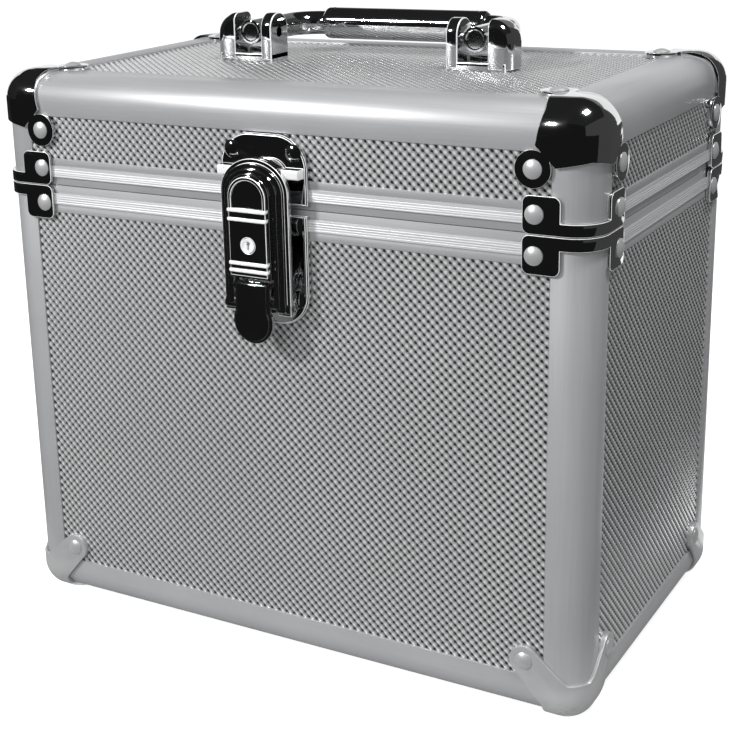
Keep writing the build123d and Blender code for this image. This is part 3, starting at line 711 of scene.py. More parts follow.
def embossed_sheet(name, window, sheet, thickness):
    """Sheet embossed inside a window, with a flat border, lying face up with its face at 0.

    The window and the sheet are given as their lowest and highest corner.
    """
    low, high = window
    low, high = (Vector(map(bound, low, high)) for bound in (min, max))
    middle = (low + high) / 2
    pitch = shape().emboss_pitch
    piece = emboss_square()
    piece.name = name
    piece.data.name = name
    for axis in (0, 1):
        count = math.ceil((high - low)[axis] / pitch) + 1
        step = [0.0, 0.0, 0.0]
        step[axis] = pitch
        apply_modifier(
            piece,
            "ARRAY",
            count=count,
            use_relative_offset=False,
            use_constant_offset=True,
            constant_offset_displace=step,
            use_merge_vertices=True,
            merge_threshold=WELD,
        )
    squares = piece.data.attributes.new("squares", "FLOAT_VECTOR", "POINT")
    for vertex in piece.data.vertices:
        squares.data[vertex.index].vector = vertex.co / pitch
    turned(piece, Matrix.Translation((low.x - pitch / 3, low.y - pitch / 3, 0)))
    editing(piece)
    for corner, outward in ((low, -1), (high, 1)):
        for axis in (0, 1):
            facing = [0.0, 0.0, 0.0]
            facing[axis] = outward
            slice_through((*corner, 0), facing, clear_outer=True)
    bpy.ops.mesh.select_all(action="SELECT")
    bpy.ops.mesh.region_to_loop()
    bpy.ops.mesh.extrude_region_move()
    grow = [(sheet[1] - sheet[0])[axis] / (high - low)[axis] for axis in (0, 1)]
    bpy.ops.transform.resize(value=(*grow, 0), center_override=(*middle, 0))
    bpy.ops.mesh.extrude_region_move(TRANSFORM_OT_translate={"value": (0, 0, -thickness)})
    bpy.ops.mesh.edge_face_add()
    edited()
    smooth(piece, 60)
    border = piece.data.attributes.new("border", "FLOAT", "FACE")
    for face in piece.data.polygons:
        outside = any(not low[axis] < face.center[axis] < high[axis] for axis in (0, 1))
        border.data[face.index].value = 1.0 if outside or len(face.vertices) > 4 else 0.0
    return piece


def wall_sheet(node, wall, low_frame, high_frame):
    """The embossed sheet of a wall, seen between two extrusions and two posts."""
    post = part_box("base_rail_front")[1].x
    half_window = HALF_ACROSS[wall] - (RIGHT - post)
    window = (
        Vector((-half_window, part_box(low_frame)[1].z)),
        Vector((half_window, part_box(high_frame)[0].z)),
    )
    low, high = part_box(node)
    across = "x" if wall in ("front", "back") else "y"
    half_sheet = (getattr(high, across) - getattr(low, across)) / 2
    sheet = (Vector((-half_sheet, low.z)), Vector((half_sheet, high.z)))
    deep = "y" if wall in ("front", "back") else "x"
    thickness = getattr(high, deep) - getattr(low, deep)
    piece = embossed_sheet(f"{node}_sheet", window, sheet, thickness)
    origin, angle = WALLS[wall]
    face = min(abs(getattr(origin, deep) - getattr(end, deep)) for end in (low, high))
    turned(piece, wall_turn(wall) @ Matrix.Translation((0, 0, -face)))
    coat(piece, "embossed")
    return finished(piece, body_of(node), "embossed_sheet", node)


def level_sheet(node, side_rail, end_rail, face_up):
    """The embossed sheet of the lid's top or of the base."""
    low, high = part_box(node)
    inner_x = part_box(side_rail)[0].x
    inner_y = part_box(end_rail)[1].y - MIDDLE_Y
    window = (Vector((-inner_x, inner_y)), Vector((inner_x, -inner_y)))
    half = (high - low) / 2
    sheet = (Vector((-half.x, -half.y)), Vector((half.x, half.y)))
    piece = embossed_sheet(f"{node}_sheet", window, sheet, high.z - low.z)
    place = Matrix.Translation((0, MIDDLE_Y, high.z if face_up else low.z))
    flip = Matrix.Rotation(0 if face_up else math.pi, 4, "X")
    turned(piece, place @ flip)
    coat(piece, "embossed")
    return finished(piece, body_of(node), "embossed_sheet", node)


class CASE_OT_embossed_panels(bpy.types.Operator):
    """Make the embossed sheets of the body, the lid and the base"""

    bl_idname = "case.embossed_panels"
    bl_label = "Embossed panels"

    def execute(self, context):
        for wall in WALLS:
            wall_sheet(f"{wall}_panel", wall, "base_rail_front", "body_rim_front")
            wall_sheet(f"lid_{wall}_panel", wall, "lid_rim_front", "lid_rail_front")
        level_sheet("lid_top_panel", "lid_rail_right", "lid_rail_front", True)
        level_sheet("base_panel", "base_rail_right", "base_rail_front", False)
        return {"FINISHED"}


# Frame extrusions


class CASE_OT_extrusions(bpy.types.Operator):
    """Dress the posts and rails of the frame"""

    bl_idname = "case.extrusions"
    bl_label = "Posts and rails"

    def execute(self, context):
        edge = shape().lip_round
        dressed("corner_posts", "anodised_frame", edge, "drawn_z")
        dressed("lid_posts", "anodised_frame", edge, "drawn_z")
        for wall in WALLS:
            along = "drawn_x" if wall in ("front", "back") else "drawn_y"
            dressed(f"base_rail_{wall}", "anodised_frame", edge, along)
            dressed(f"lid_rail_{wall}", "anodised_frame", edge, along)
        return {"FINISHED"}


RIM_BAND = (3.0 * MM, 7.3 * MM)
RIM_LINES = 4
LINE_HALF_WIDTH = 0.2 * MM


def engrave_rim(piece, wall, rise):
    """Engrave fine lines along the raised band of a rim and mark the band for its painted
    highlight.
    """
    origin, angle = WALLS[wall]
    outward = Matrix.Rotation(math.radians(angle), 3, "Z") @ Vector((0, -1, 0))
    skin = 0.5 * MM
    low, high = RIM_BAND
    for line in range(RIM_LINES):
        middle = SEAM + rise * (low + (high - low) * (line + 1) / (RIM_LINES + 1))
        editing(piece)
        for offset in (-LINE_HALF_WIDTH, 0.0, LINE_HALF_WIDTH):
            slice_through((0, 0, middle + offset), (0, 0, 1))
        pick(
            piece,
            "VERT",
            lambda vertex: abs(vertex.co.z - middle) < NEAR
            and (vertex.co - origin).dot(outward) > -skin,
        )
        bpy.ops.transform.translate(value=outward * -shape().groove_depth)
        edited()
    # Outward faces of the raised band get the painted highlight
    painted_band_highlight = piece.data.attributes.new("painted_band_highlight", "FLOAT", "FACE")
    for face in piece.data.polygons:
        outside = (face.center - origin).dot(outward) > -skin and face.normal.dot(outward) > 0.5
        in_band = low < abs(face.center.z - SEAM) < high
        painted_band_highlight.data[face.index].value = 1.0 if outside and in_band else 0.0


class CASE_OT_rims(bpy.types.Operator):
    """Make the grooved rims above and below the seam"""

    bl_idname = "case.rims"
    bl_label = "Rims"

    def execute(self, context):
        for wall in WALLS:
            along = "drawn_x" if wall in ("front", "back") else "drawn_y"
            for node, rise in ((f"body_rim_{wall}", -1), (f"lid_rim_{wall}", 1)):
                piece = node_copy(node, f"{node}_skin")
                engrave_rim(piece, wall, rise)
                round_edges(piece, 0.12 * MM, 2, 50)
                smooth(piece, 25)
                coat(piece, along)
                finished(piece, body_of(node), "anodised_frame", node)
        return {"FINISHED"}


# Corners and seam brackets


class CASE_OT_corners(bpy.types.Operator):
    """Dress the ball corners and the brackets at the seam"""

    bl_idname = "case.corners"
    bl_label = "Corners and seam brackets"

    def execute(self, context):
        edge = shape().edge_round
        for end in ("front", "back"):
            for side in ("left", "right"):
                dressed(f"lid_corner_{end}_{side}", "chrome_fittings", edge, "bright", "painted_edge_highlight")
                dressed(f"base_corner_{end}_{side}", "satin_corners", edge, "satin")
        dressed("upper_seam_brackets", "chrome_fittings", edge, "bright", "painted_edge_highlight")
        dressed("lower_seam_brackets", "chrome_fittings", edge, "bright", "painted_edge_highlight")
        return {"FINISHED"}


# Rivets

BASE_LOBE_IN = 21.5 * MM
LID_LOBE_IN = 20.6 * MM
BRACKET_RIVET_IN = 19.9 * MM
BRACKET_RIVET_RISE = 6.8 * MM
HINGE_RIVETS_X = [x * MM for x in (-74, -56, 56, 74)]
HINGE_RIVET_RISE = 7.0 * MM
LATCH_RIVET_X = 12.6 * MM
KEEPER_RIVET_RISE = 20.5 * MM
BASE_PLATE_DROPS = [drop * MM for drop in (5.4, 32.0)]
LATCH_PLATE_OUT = 2.0 * MM
LATCH_HALF_WIDTH = 20 * MM


def rivet_head():
    """Domed head with a short upright rim, its seat at 0."""
    deselect()
    rim = 0.22 * MM
    radius, height = shape().rivet_radius, shape().rivet_height - rim
    ball = (radius**2 + height**2) / (2 * height)
    bpy.ops.mesh.primitive_uv_sphere_add(
        segments=40,
        ring_count=36,
        radius=ball,
        location=(0, 0, rim + height - ball),
    )
    head = new_piece("rivet_head")
    editing(head)
    slice_through((0, 0, rim), (0, 0, 1), clear_inner=True)
    bpy.ops.mesh.select_all(action="SELECT")
    bpy.ops.mesh.region_to_loop()
    bpy.ops.mesh.extrude_region_move(TRANSFORM_OT_translate={"value": (0, 0, -2 * rim)})
    bpy.ops.mesh.edge_face_add()
    edited()
    smooth(head, 50)
    return head


def rivet_seats(lobe_in, lobe_height, bracket_height):
    """Where the rivets of the corners and seam brackets sit, as matrices."""
    seats = []
    for wall in WALLS:
        for side in (-1, 1):
            for inward, height in ((lobe_in, lobe_height), (BRACKET_RIVET_IN, bracket_height)):
                across = side * (HALF_ACROSS[wall] - inward)
                seats.append(wall_turn(wall) @ Matrix.Translation((across, height, SKIN_OUT)))
    return seats


def rivet_set(name, node, seats):
    """Heads on all their seats as one piece."""
    head = rivet_head()
    heads = [copied(head, f"{name}_{number}", seat) for number, seat in enumerate(seats)]
    bpy.data.objects.remove(head)
    piece = join(name, *heads)
    coat(piece, "satin", "bright")

    def on_latch(face):
        return abs(face.center.x) < LATCH_HALF_WIDTH and face.center.y < FRONT

    coat_faces(piece, 1, on_latch)
    return finished(piece, body_of(node), "rivet_heads", node)


class CASE_OT_rivets(bpy.types.Operator):
    """Set the rivets of the body and of the lid"""

    bl_idname = "case.rivets"
    bl_label = "Rivets"

    def execute(self, context):
        hinge_height = {-1: SEAM - HINGE_RIVET_RISE, 1: SEAM + HINGE_RIVET_RISE}
        sets = {
            rise: [
                wall_turn("back") @ Matrix.Translation((x, height, SKIN_OUT))
                for x in HINGE_RIVETS_X
            ]
            for rise, height in hinge_height.items()
        }
        sets[-1] += rivet_seats(BASE_LOBE_IN, BOTTOM + BASE_LOBE_IN, SEAM - BRACKET_RIVET_RISE)
        sets[1] += rivet_seats(LID_LOBE_IN, TOP - LID_LOBE_IN, SEAM + BRACKET_RIVET_RISE)
        for side in (-1, 1):
            x = side * LATCH_RIVET_X
            for drop in BASE_PLATE_DROPS:
                place = Matrix.Translation((x, SEAM - drop, LATCH_PLATE_OUT))
                sets[-1].append(wall_turn("front") @ place)
            place = Matrix.Translation((x, SEAM + KEEPER_RIVET_RISE, LATCH_PLATE_OUT))
            sets[1].append(wall_turn("front") @ place)
            for end in (-1, 1):
                x = side * (RIGHT - LID_LOBE_IN)
                y = MIDDLE_Y + end * ((BACK - FRONT) / 2 - LID_LOBE_IN)
                sets[1].append(Matrix.Translation((x, y, TOP + SKIN_OUT)))
        rivet_set("body_rivet_heads", "body_rivets", sets[-1])
        rivet_set("lid_rivet_heads", "lid_rivets", sets[1])
        return {"FINISHED"}


# Latch


def tab_face(name, centre, radius, cut_at, drawn_to):
    """Flat disc cut straight at a height, with its cut edge drawn out to another height."""
    deselect()
    bpy.ops.mesh.primitive_circle_add(
        vertices=96, radius=radius, fill_type="NGON", location=centre
    )
    piece = new_piece(name)
    editing(piece)
    away = 1 if drawn_to > cut_at else -1
    slice_through((0, cut_at, 0), (0, away, 0), clear_outer=True)
    pick(piece, "EDGE", lambda edge: all(abs(v.co.y - cut_at) < NEAR for v in edge.verts))
    move = (0, drawn_to - cut_at, 0)
    bpy.ops.mesh.extrude_region_move(TRANSFORM_OT_translate={"value": move})
    bpy.ops.mesh.select_all(action="SELECT")
    bpy.ops.mesh.dissolve_faces()
    edited()
    return piece


def arched_plate(name, width, low, high, arch, out):
    """Flat face with an elliptical top and a straight bottom, lying at a height out."""
    centre = high - arch
    piece = tab_face(name, (0, centre, out), width / 2, centre, low)
    editing(piece)
    pick(piece, "VERT", lambda vertex: vertex.co.y > centre + NEAR)
    squeeze = arch / (width / 2)
    bpy.ops.transform.resize(value=(1, squeeze, 1), center_override=(0, centre, 0))
    edited()
    return piece


def pull(piece, *steps):
    """Raise a flat piece's outer face in steps, each an inset and a rise."""
    editing(piece)
    for inset_by, rise in steps:
        pick_outer_face(piece)
        if inset_by:
            inset(inset_by)
        extrude(rise)
    bpy.ops.mesh.select_all(action="SELECT")
    bpy.ops.mesh.normals_make_consistent(inside=False)
    edited()
    return piece


def block(name, low, high):
    """A block between two corners."""
    deselect()
    low, high = Vector(low), Vector(high)
    bpy.ops.mesh.primitive_cube_add(size=1, location=(low + high) / 2, scale=high - low)
    return new_piece(name)


def drum(name, centre, radius, depth, along="z", sides=48):
    """A round bar about a centre, along an axis."""
    deselect()
    turns = {"x": (0, math.pi / 2, 0), "y": (math.pi / 2, 0, 0), "z": (0, 0, 0)}
    bpy.ops.mesh.primitive_cylinder_add(
        vertices=sides,
        radius=radius,
        depth=depth,
        location=centre,
        rotation=turns[along],
    )
    return new_piece(name)


LEVER_PIN = Vector((0, SEAM - 29.0 * MM, 7.0 * MM))
CLAW_PIN = Vector((0, SEAM - 33.981 * MM, 6.564 * MM))
KEY_HEIGHT = SEAM - 11.0 * MM
CLAW_LOW = CLAW_PIN.y - 2.6 * MM
CLAW_TOP = SEAM + 18.8 * MM
CLAW_SLOT_TOP = SEAM - 21.5 * MM
CLAW_WIDTH = 27.4 * MM
CLAW_BACK = 6.5 * MM
PANEL_WIDTH = 17.0 * MM
PANEL_TOP = CLAW_TOP - 4.6 * MM
PANEL_OUT = 13.5 * MM
RIB_PROUD = 0.6 * MM
RIB_HALF_LENGTH = 8.0 * MM
RIB_HALF_WIDTH = 0.65 * MM
SLOT_HALF_WIDTH = 8.4 * MM


def claw_plate():
    """Oval plate of the claw: a flange, two steps and a slot between its arms."""
    arch = 12.0 * MM
    plate = arched_plate("claw_plate", CLAW_WIDTH, CLAW_LOW, CLAW_TOP, arch, CLAW_BACK)
    pull(plate, (0, 2.0 * MM), (1.5 * MM, 1.5 * MM), (1.7 * MM, 1.1 * MM))
    slot = block(
        "claw_slot",
        (-SLOT_HALF_WIDTH, CLAW_LOW - 1 * MM, 0),
        (SLOT_HALF_WIDTH, CLAW_SLOT_TOP, 20 * MM),
    )
    cut(plate, slot)
    hook = arched_plate("claw_hook", CLAW_WIDTH, CLAW_LOW, CLAW_TOP, arch, 3.7 * MM)
    editing(hook)
    slice_through((0, SEAM + 15.5 * MM, 0), (0, 1, 0), clear_inner=True)
    edited()
    pull(hook, (0, 3.4 * MM))
    lugs = []
    for side in (-1, 1):
        centre = Vector((side * 11.05 * MM, CLAW_PIN.y, CLAW_PIN.z))
        lugs.append(drum("claw_lug", centre, 2.6 * MM, 5.2 * MM, "x"))
    return join("claw_plate", hook, *lugs, plate)


def claw_panel():
    """Raised panel of the claw, with a sunk arch, a seat for the key and two pairs of ridges."""
    arch = 8.2 * MM
    panel_low = CLAW_SLOT_TOP - 1.6 * MM
    panel = arched_plate("claw_panel", PANEL_WIDTH, panel_low, PANEL_TOP, arch, 8.4 * MM)
    pull(panel, (0, 4.3 * MM), (0.9 * MM, PANEL_OUT - 12.7 * MM))
    window_low = KEY_HEIGHT + 12.4 * MM
    window_high = PANEL_TOP - 2.2 * MM
    window = arched_plate(
        "panel_window", 12.8 * MM, window_low, window_high, 6.3 * MM, PANEL_OUT - 0.9 * MM
    )
    pull(window, (0, 4 * MM))
    key_seat = drum("key_seat", (0, KEY_HEIGHT, PANEL_OUT), 2.85 * MM, 1.8 * MM)
    cut(panel, window, key_seat)
    ribs = []
    low_ribs = [CLAW_SLOT_TOP + rise * MM for rise in (1.3, 3.9)]
    high_ribs = [KEY_HEIGHT + rise * MM for rise in (9.1, 12.35)]
    for height in low_ribs + high_ribs:
        ribs.append(
            block(
                "claw_rib",
                (-RIB_HALF_LENGTH, height - RIB_HALF_WIDTH, PANEL_OUT - 1.2 * MM),
                (RIB_HALF_LENGTH, height + RIB_HALF_WIDTH, PANEL_OUT + RIB_PROUD),
            )
        )
    rib_set = join("claw_ribs", *ribs)
    # The ridges take the painted highlight finish all over; the panel keeps it only on its top
    # rounded edges
    coat(rib_set, "painted_edge_highlight")
    round_edges(rib_set, 0.5 * MM, 4)
    coat(panel, "bright", "painted_edge_highlight")
    round_edges(panel, 0.25 * MM, 3)
    coat_faces(panel, 0, lambda face: face.center.z < PANEL_OUT - 0.3 * MM)
    return join("claw_panel", rib_set, panel)


def lever_head():
    """The part of the lever that turns on its pin, cut from the node's own shape."""
    head = node_copy("latch_lever", "lever_head")
    editing(head)
    slice_through((0, FRONT - 10.9 * MM, 0), (0, -1, 0), clear_outer=True, use_fill=True)
    edited()
    round_edges(head, 0.3 * MM)
    return head


def lever_tongue():
    """Spoon-shaped tongue that a finger lifts: a parallel neck and a dished round end."""
    spoon = Vector((0, LEVER_PIN.y - 9.9 * MM, 10.8 * MM))
    neck_half = 7.2 * MM
    radius = 8.1 * MM
    neck_top = LEVER_PIN.y + 4.8 * MM
    shoulder = spoon.y + math.sqrt(radius**2 - neck_half**2)
    tongue = tab_face("lever_tongue", spoon, radius, shoulder, neck_top)
    pull(tongue, (0, 1.3 * MM), (1.0 * MM, 0.9 * MM))
    editing(tongue)
    pick_outer_face(tongue)
    inset(1.6 * MM)
    inset(0.9 * MM, -0.35 * MM)
    edited()
    round_edges(tongue, 0.5 * MM, 4, 25)
    return tongue


class CASE_OT_latch(bpy.types.Operator):
    """Make the latch: keeper, base, lever and claw"""

    bl_idname = "case.latch"
    bl_label = "Latch"

    def execute(self, context):
        edge = shape().edge_round
        keeper = dressed("latch_keeper", "chrome_fittings", edge, "bright", "painted_edge_highlight")
        # The keeper's ridge bar takes the painted highlight finish
        ridge = FRONT - 4.2 * MM
        ridge_low = SEAM + 11.0 * MM
        coat_faces(keeper, 1, lambda face: face.center.y < ridge and face.center.z > ridge_low)
        dressed("latch_base", "chrome_fittings", edge, "bright", "painted_edge_highlight")
        plate = claw_plate()
        coat(plate, "bright", "painted_edge_highlight")
        round_edges(plate, 0.3 * MM, 3)
        # Only the rounded edges of the flange keep the painted highlight
        coat_faces(plate, 0, lambda face: face.center.z > CLAW_BACK + 2.1 * MM)
        claw = join("latch_claw_body", claw_panel(), plate)
        turned(claw, wall_turn("front"))
        smooth(claw)
        finished(claw, "latch_claw", "chrome_fittings", "latch_claw")
        tongue = turned(lever_tongue(), wall_turn("front"))
        lever = join("latch_lever_body", lever_head(), tongue)
        smooth(lever)
        coat(lever, "bright")
        finished(lever, "latch_lever", "chrome_fittings", "latch_lever")
        return {"FINISHED"}


class CASE_OT_key_cylinder(bpy.types.Operator):
    """Make the key cylinder with its slot"""

    bl_idname = "case.key_cylinder"
    bl_label = "Key cylinder"

    def execute(self, context):
        depth = PANEL_OUT + 0.3 * MM - CLAW_BACK
        centre = Vector((0, KEY_HEIGHT, CLAW_BACK + depth / 2))
        barrel = drum("key_barrel", centre, 2.6 * MM, depth)
        editing(barrel)
        pick_outer_face(barrel)
        inset(0.45 * MM)
        inset(0.15 * MM, -0.3 * MM)
        edited()
        slot = block(
            "key_slot",
            (-0.45 * MM, KEY_HEIGHT - 1.7 * MM, PANEL_OUT - 2 * MM),
            (0.45 * MM, KEY_HEIGHT + 1.0 * MM, PANEL_OUT + 2 * MM),
        )
        eye = drum("key_eye", (0, KEY_HEIGHT + 0.7 * MM, PANEL_OUT), 0.8 * MM, 4 * MM)
        cut(barrel, slot, eye)
        round_edges(barrel, 0.12 * MM, 2)
        turned(barrel, wall_turn("front"))
        smooth(barrel)
        # The whole barrel takes the painted highlight finish
        coat(barrel, "painted_edge_highlight")
        finished(barrel, "key_cylinder", "chrome_fittings", "key_cylinder")
        return {"FINISHED"}


# Handle

HANDLE_SPACING = 97.2 * MM
ROD_RADIUS = 4.8 * MM
HANDLE_LEG = 36.0 * MM
HANDLE_TAIL = 4.5 * MM
HANDLE_BEND = 12.0 * MM
PIVOT_HEIGHT = TOP + 10.5 * MM
GRIP_LENGTH = 72.0 * MM
GRIP_RADIUS = 6.4 * MM


def handle_rod():
    """Round bar from end to end: leg, bend, bar, bend, leg."""
    deselect()
    half = HANDLE_SPACING / 2
    end_y = MIDDLE_Y - HANDLE_TAIL
    bend_y = MIDDLE_Y + HANDLE_LEG - HANDLE_BEND
    leg = bend_y - end_y
    bar = 2 * (half - HANDLE_BEND)
    bpy.ops.mesh.primitive_circle_add(
        vertices=48,
        radius=ROD_RADIUS,
        fill_type="NOTHING",
        location=(-half, end_y, PIVOT_HEIGHT),
        rotation=(math.pi / 2, 0, 0),
    )
    rod = new_piece("handle_rod")
    editing(rod, "EDGE")
    bpy.ops.mesh.select_all(action="SELECT")

    def run(x, y):
        bpy.ops.mesh.extrude_region_move(TRANSFORM_OT_translate={"value": (x, y, 0)})

    def bend(x):
        bpy.ops.mesh.spin(
            steps=16, angle=math.pi / 2, center=(x, bend_y, PIVOT_HEIGHT), axis=(0, 0, 1)
        )

    run(0, leg)
    bend(-half + HANDLE_BEND)
    run(bar, 0)
    bend(half - HANDLE_BEND)
    run(0, -leg)
    bpy.ops.mesh.edge_face_add()
    pick(rod, "EDGE", lambda edge: edge.is_boundary)
    bpy.ops.mesh.edge_face_add()
    edited()
    smooth(rod)
    editing(rod)
    pick(rod, "FACE", lambda face: len(face.verts) > 8)
    bpy.ops.mesh.inset(thickness=1.0 * MM, use_individual=True)
    bpy.ops.mesh.inset(thickness=0.5 * MM, depth=-0.35 * MM, use_individual=True)
    edited()
    round_edges(rod, 0.35 * MM, 3)
    smooth(rod)
    return rod


def handle_grip():
    """Sleeve over the bar, drawn in to the bar at both ends with a bead before each."""
    profile = []
    quarter = GRIP_RADIUS - ROD_RADIUS
    for step in range(7):
        angle = step * math.pi / 12
        profile.append((quarter * (1 - math.cos(angle)), ROD_RADIUS + quarter * math.sin(angle)))
    bead = 3.2 * MM
    profile += [(bead, GRIP_RADIUS), (bead + 0.3 * MM, GRIP_RADIUS - 0.3 * MM)]
    profile += [(bead + 0.9 * MM, GRIP_RADIUS - 0.3 * MM), (bead + 1.2 * MM, GRIP_RADIUS)]
    half = GRIP_LENGTH / 2
    rings = [(-half + along, radius) for along, radius in profile]
    rings += [(-along, radius) for along, radius in reversed(rings)]
    bar_y = MIDDLE_Y + HANDLE_LEG
    deselect()
    bpy.ops.mesh.primitive_circle_add(
        vertices=48,
        radius=rings[0][1],
        fill_type="NOTHING",
        location=(rings[0][0], bar_y, PIVOT_HEIGHT),
        rotation=(0, math.pi / 2, 0),
    )
    grip = new_piece("handle_grip_sleeve")
    editing(grip, "EDGE")
    bpy.ops.mesh.select_all(action="SELECT")
    for (before, old), (after, new) in zip(rings, rings[1:]):
        bpy.ops.mesh.extrude_region_move(TRANSFORM_OT_translate={"value": (after - before, 0, 0)})
        grow = new / old
        bpy.ops.transform.resize(
            value=(1, grow, grow), center_override=(after, bar_y, PIVOT_HEIGHT)
        )
    bpy.ops.mesh.edge_face_add()
    pick(grip, "EDGE", lambda edge: edge.is_boundary)
    bpy.ops.mesh.edge_face_add()
    edited()
    smooth(grip)
    return grip


class CASE_OT_handle(bpy.types.Operator):
    """Make the folding handle and its grip"""

    bl_idname = "case.handle"
    bl_label = "Handle"

    def execute(self, context):
        for piece, node in ((handle_rod(), "handle"), (handle_grip(), "handle_grip")):
            coat(piece, "bright")
            finished(piece, "handle", "chrome_fittings", node)
        return {"FINISHED"}


def bracket_cheek(low, high, outer):
    """Domed outer cheek: a quarter round over its outer side, softened front and back."""
    cheek = block("bracket_cheek", low, high)
    top = high[2]
    inner = low[0] if outer == high[0] else high[0]
    bottom = low[2]
    editing(cheek)

    def along_outer_top(edge):
        return all(abs(v.co.x - outer) < NEAR and abs(v.co.z - top) < NEAR for v in edge.verts)

    pick(cheek, "EDGE", along_outer_top)
    bpy.ops.mesh.bevel(offset=8.6 * MM, segments=14, affect="EDGES")

    def on_end_profile(edge):
        ends = [v.co for v in edge.verts]
        one_end = any(all(abs(p.y - y) < NEAR for p in ends) for y in (low[1], high[1]))
        hidden = all(abs(p.x - inner) < NEAR for p in ends)
        hidden = hidden or all(abs(p.z - bottom) < NEAR for p in ends)
        return one_end and not hidden

    pick(cheek, "EDGE", on_end_profile)
    bpy.ops.mesh.bevel(offset=3.6 * MM, segments=8, affect="EDGES")
    edited()
    return cheek


def bracket_ear(low, high):
    """Inner ear with a round top."""
    ear = block("bracket_ear", low, high)
    editing(ear)

    def along_top_ends(edge):
        ends = [v.co for v in edge.verts]
        high_up = all(abs(p.z - high[2]) < NEAR for p in ends)
        return high_up and any(all(abs(p.y - y) < NEAR for p in ends) for y in (low[1], high[1]))

    pick(ear, "EDGE", along_top_ends)
    bpy.ops.mesh.bevel(offset=6.2 * MM, segments=12, affect="EDGES")
    edited()
    return ear


def handle_bracket(side):
    """Ear, floor and cheek that hold one leg of the handle between them."""
    word = "left" if side < 0 else "right"
    low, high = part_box(f"handle_bracket_{word}")
    ear_width, cheek_width = 4.6 * MM, 9.0 * MM
    floor_height = 2.4 * MM
    inner, outer = (low.x, high.x) if side > 0 else (high.x, low.x)

    def span(first, last):
        return min(first, last), max(first, last)

    ear_x = span(inner, inner + side * ear_width)
    cheek_x = span(outer - side * cheek_width, outer)
    ear = bracket_ear((ear_x[0], low.y, TOP), (ear_x[1], high.y, high.z))
    cheek = bracket_cheek((cheek_x[0], low.y, TOP), (cheek_x[1], high.y, high.z), outer)
    floor_x = span(inner, outer - side * 2 * MM)
    floor = block(
        "bracket_floor",
        (floor_x[0], low.y + 0.05 * MM, low.z),
        (floor_x[1], high.y - 0.05 * MM, TOP + floor_height),
    )
    channel_x = span(inner + side * ear_width, outer - side * cheek_width)
    rest_width = 2.2 * MM
    rest = block(
        "bracket_rest",
        (channel_x[0], MIDDLE_Y + 3.5 * MM, TOP + 1 * MM),
        (channel_x[1], MIDDLE_Y + 3.5 * MM + rest_width, TOP + 4.2 * MM),
    )
    for part in (ear, floor, rest, cheek):
        coat(part, "bright", "painted_edge_highlight")
        round_edges(part, 0.4 * MM, 3)
    piece = join(f"handle_bracket_{word}_body", ear, floor, rest, cheek)
    smooth(piece)
    return finished(piece, "lid", "chrome_fittings", f"handle_bracket_{word}")


class CASE_OT_handle_brackets(bpy.types.Operator):
    """Make the two brackets that the handle turns in"""

    bl_idname = "case.handle_brackets"
    bl_label = "Handle brackets"

    def execute(self, context):
        for side in (-1, 1):
            handle_bracket(side)
        repaint("handle_pins", "steel")
        repaint("handle_screws", "steel")
        return {"FINISHED"}


# Hinges and pins


class CASE_OT_hinges(bpy.types.Operator):
    """Dress the hinges at the back and the small pins"""

    bl_idname = "case.hinges"
    bl_label = "Hinges and pins"

    def execute(self, context):
        for half in ("lower", "upper"):
            dressed(f"hinge_leaves_{half}", "chrome_fittings", shape().lip_round, "bright", "painted_edge_highlight")
        for node in ("hinge_pins", "lever_pin", "claw_pin"):
            repaint(node, "steel")
        return {"FINISHED"}


# Foam


def soften(piece, voxel, swell):
    """Soften a foam block's edges and give its faces a slight unevenness."""
    apply_modifier(piece, "REMESH", mode="VOXEL", voxel_size=voxel)
    apply_modifier(piece, "SMOOTH", factor=0.5, iterations=3)
    clouds = bpy.data.textures.new(f"{piece.name}_unevenness", "CLOUDS")
    clouds.noise_scale = 14 * MM
    clouds.noise_depth = 2
    apply_modifier(
        piece,
        "DISPLACE",
        texture=clouds,
        texture_coords="LOCAL",
        strength=swell,
        mid_level=1.0,
    )
    smooth(piece, 60)


def foam_piece(node, name, swell, *cutters):
    """A foam block in the space of its node."""
    low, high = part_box(node)
    piece = block(name, low, high)
    cut(piece, *cutters)
    soften(piece, 2.4 * MM, swell)
    coat(piece, "foam")
    finished(piece, body_of(node), "foam", node)
    return piece


DRIVE_SLOTS = 5
DRIVE_SLOT_PITCH = 43.0 * MM
DRIVE_SLOT_WIDTH = 27.6 * MM
DRIVE_SLOT_DEPTH = 103.1 * MM


class CASE_OT_foam(bpy.types.Operator):
    """Make the foam insert, its floor and the pad in the lid"""

    bl_idname = "case.foam"
    bl_label = "Foam"

    def execute(self, context):
        low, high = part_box("drive_foam")
        slots = []
        for number in range(DRIVE_SLOTS):
            x = (number - (DRIVE_SLOTS - 1) / 2) * DRIVE_SLOT_PITCH
            slots.append(
                block(
                    f"slot_{number + 1}",
                    (x - DRIVE_SLOT_WIDTH / 2, MIDDLE_Y - DRIVE_SLOT_DEPTH / 2, low.z - 1 * MM),
                    (x + DRIVE_SLOT_WIDTH / 2, MIDDLE_Y + DRIVE_SLOT_DEPTH / 2, high.z + 1 * MM),
                )
            )
        foam_piece("drive_foam", "drive_foam_block", 0.8 * MM, *slots)
        foam_piece("foam_floor", "foam_floor_pad", 0.8 * MM)
        foam_piece("lid_foam", "lid_foam_pad", 1.0 * MM)
        return {"FINISHED"}


# Camera, floor and lights

CAMERA_PLACE = (0.27828, -0.50525, 0.29061)
CAMERA_TURN = 31.06
CAMERA_TILT = 16.455
CAMERA_ROLL = 1.736
CAMERA_LENS = 73.26
CAMERA_SHIFT = 0.0815


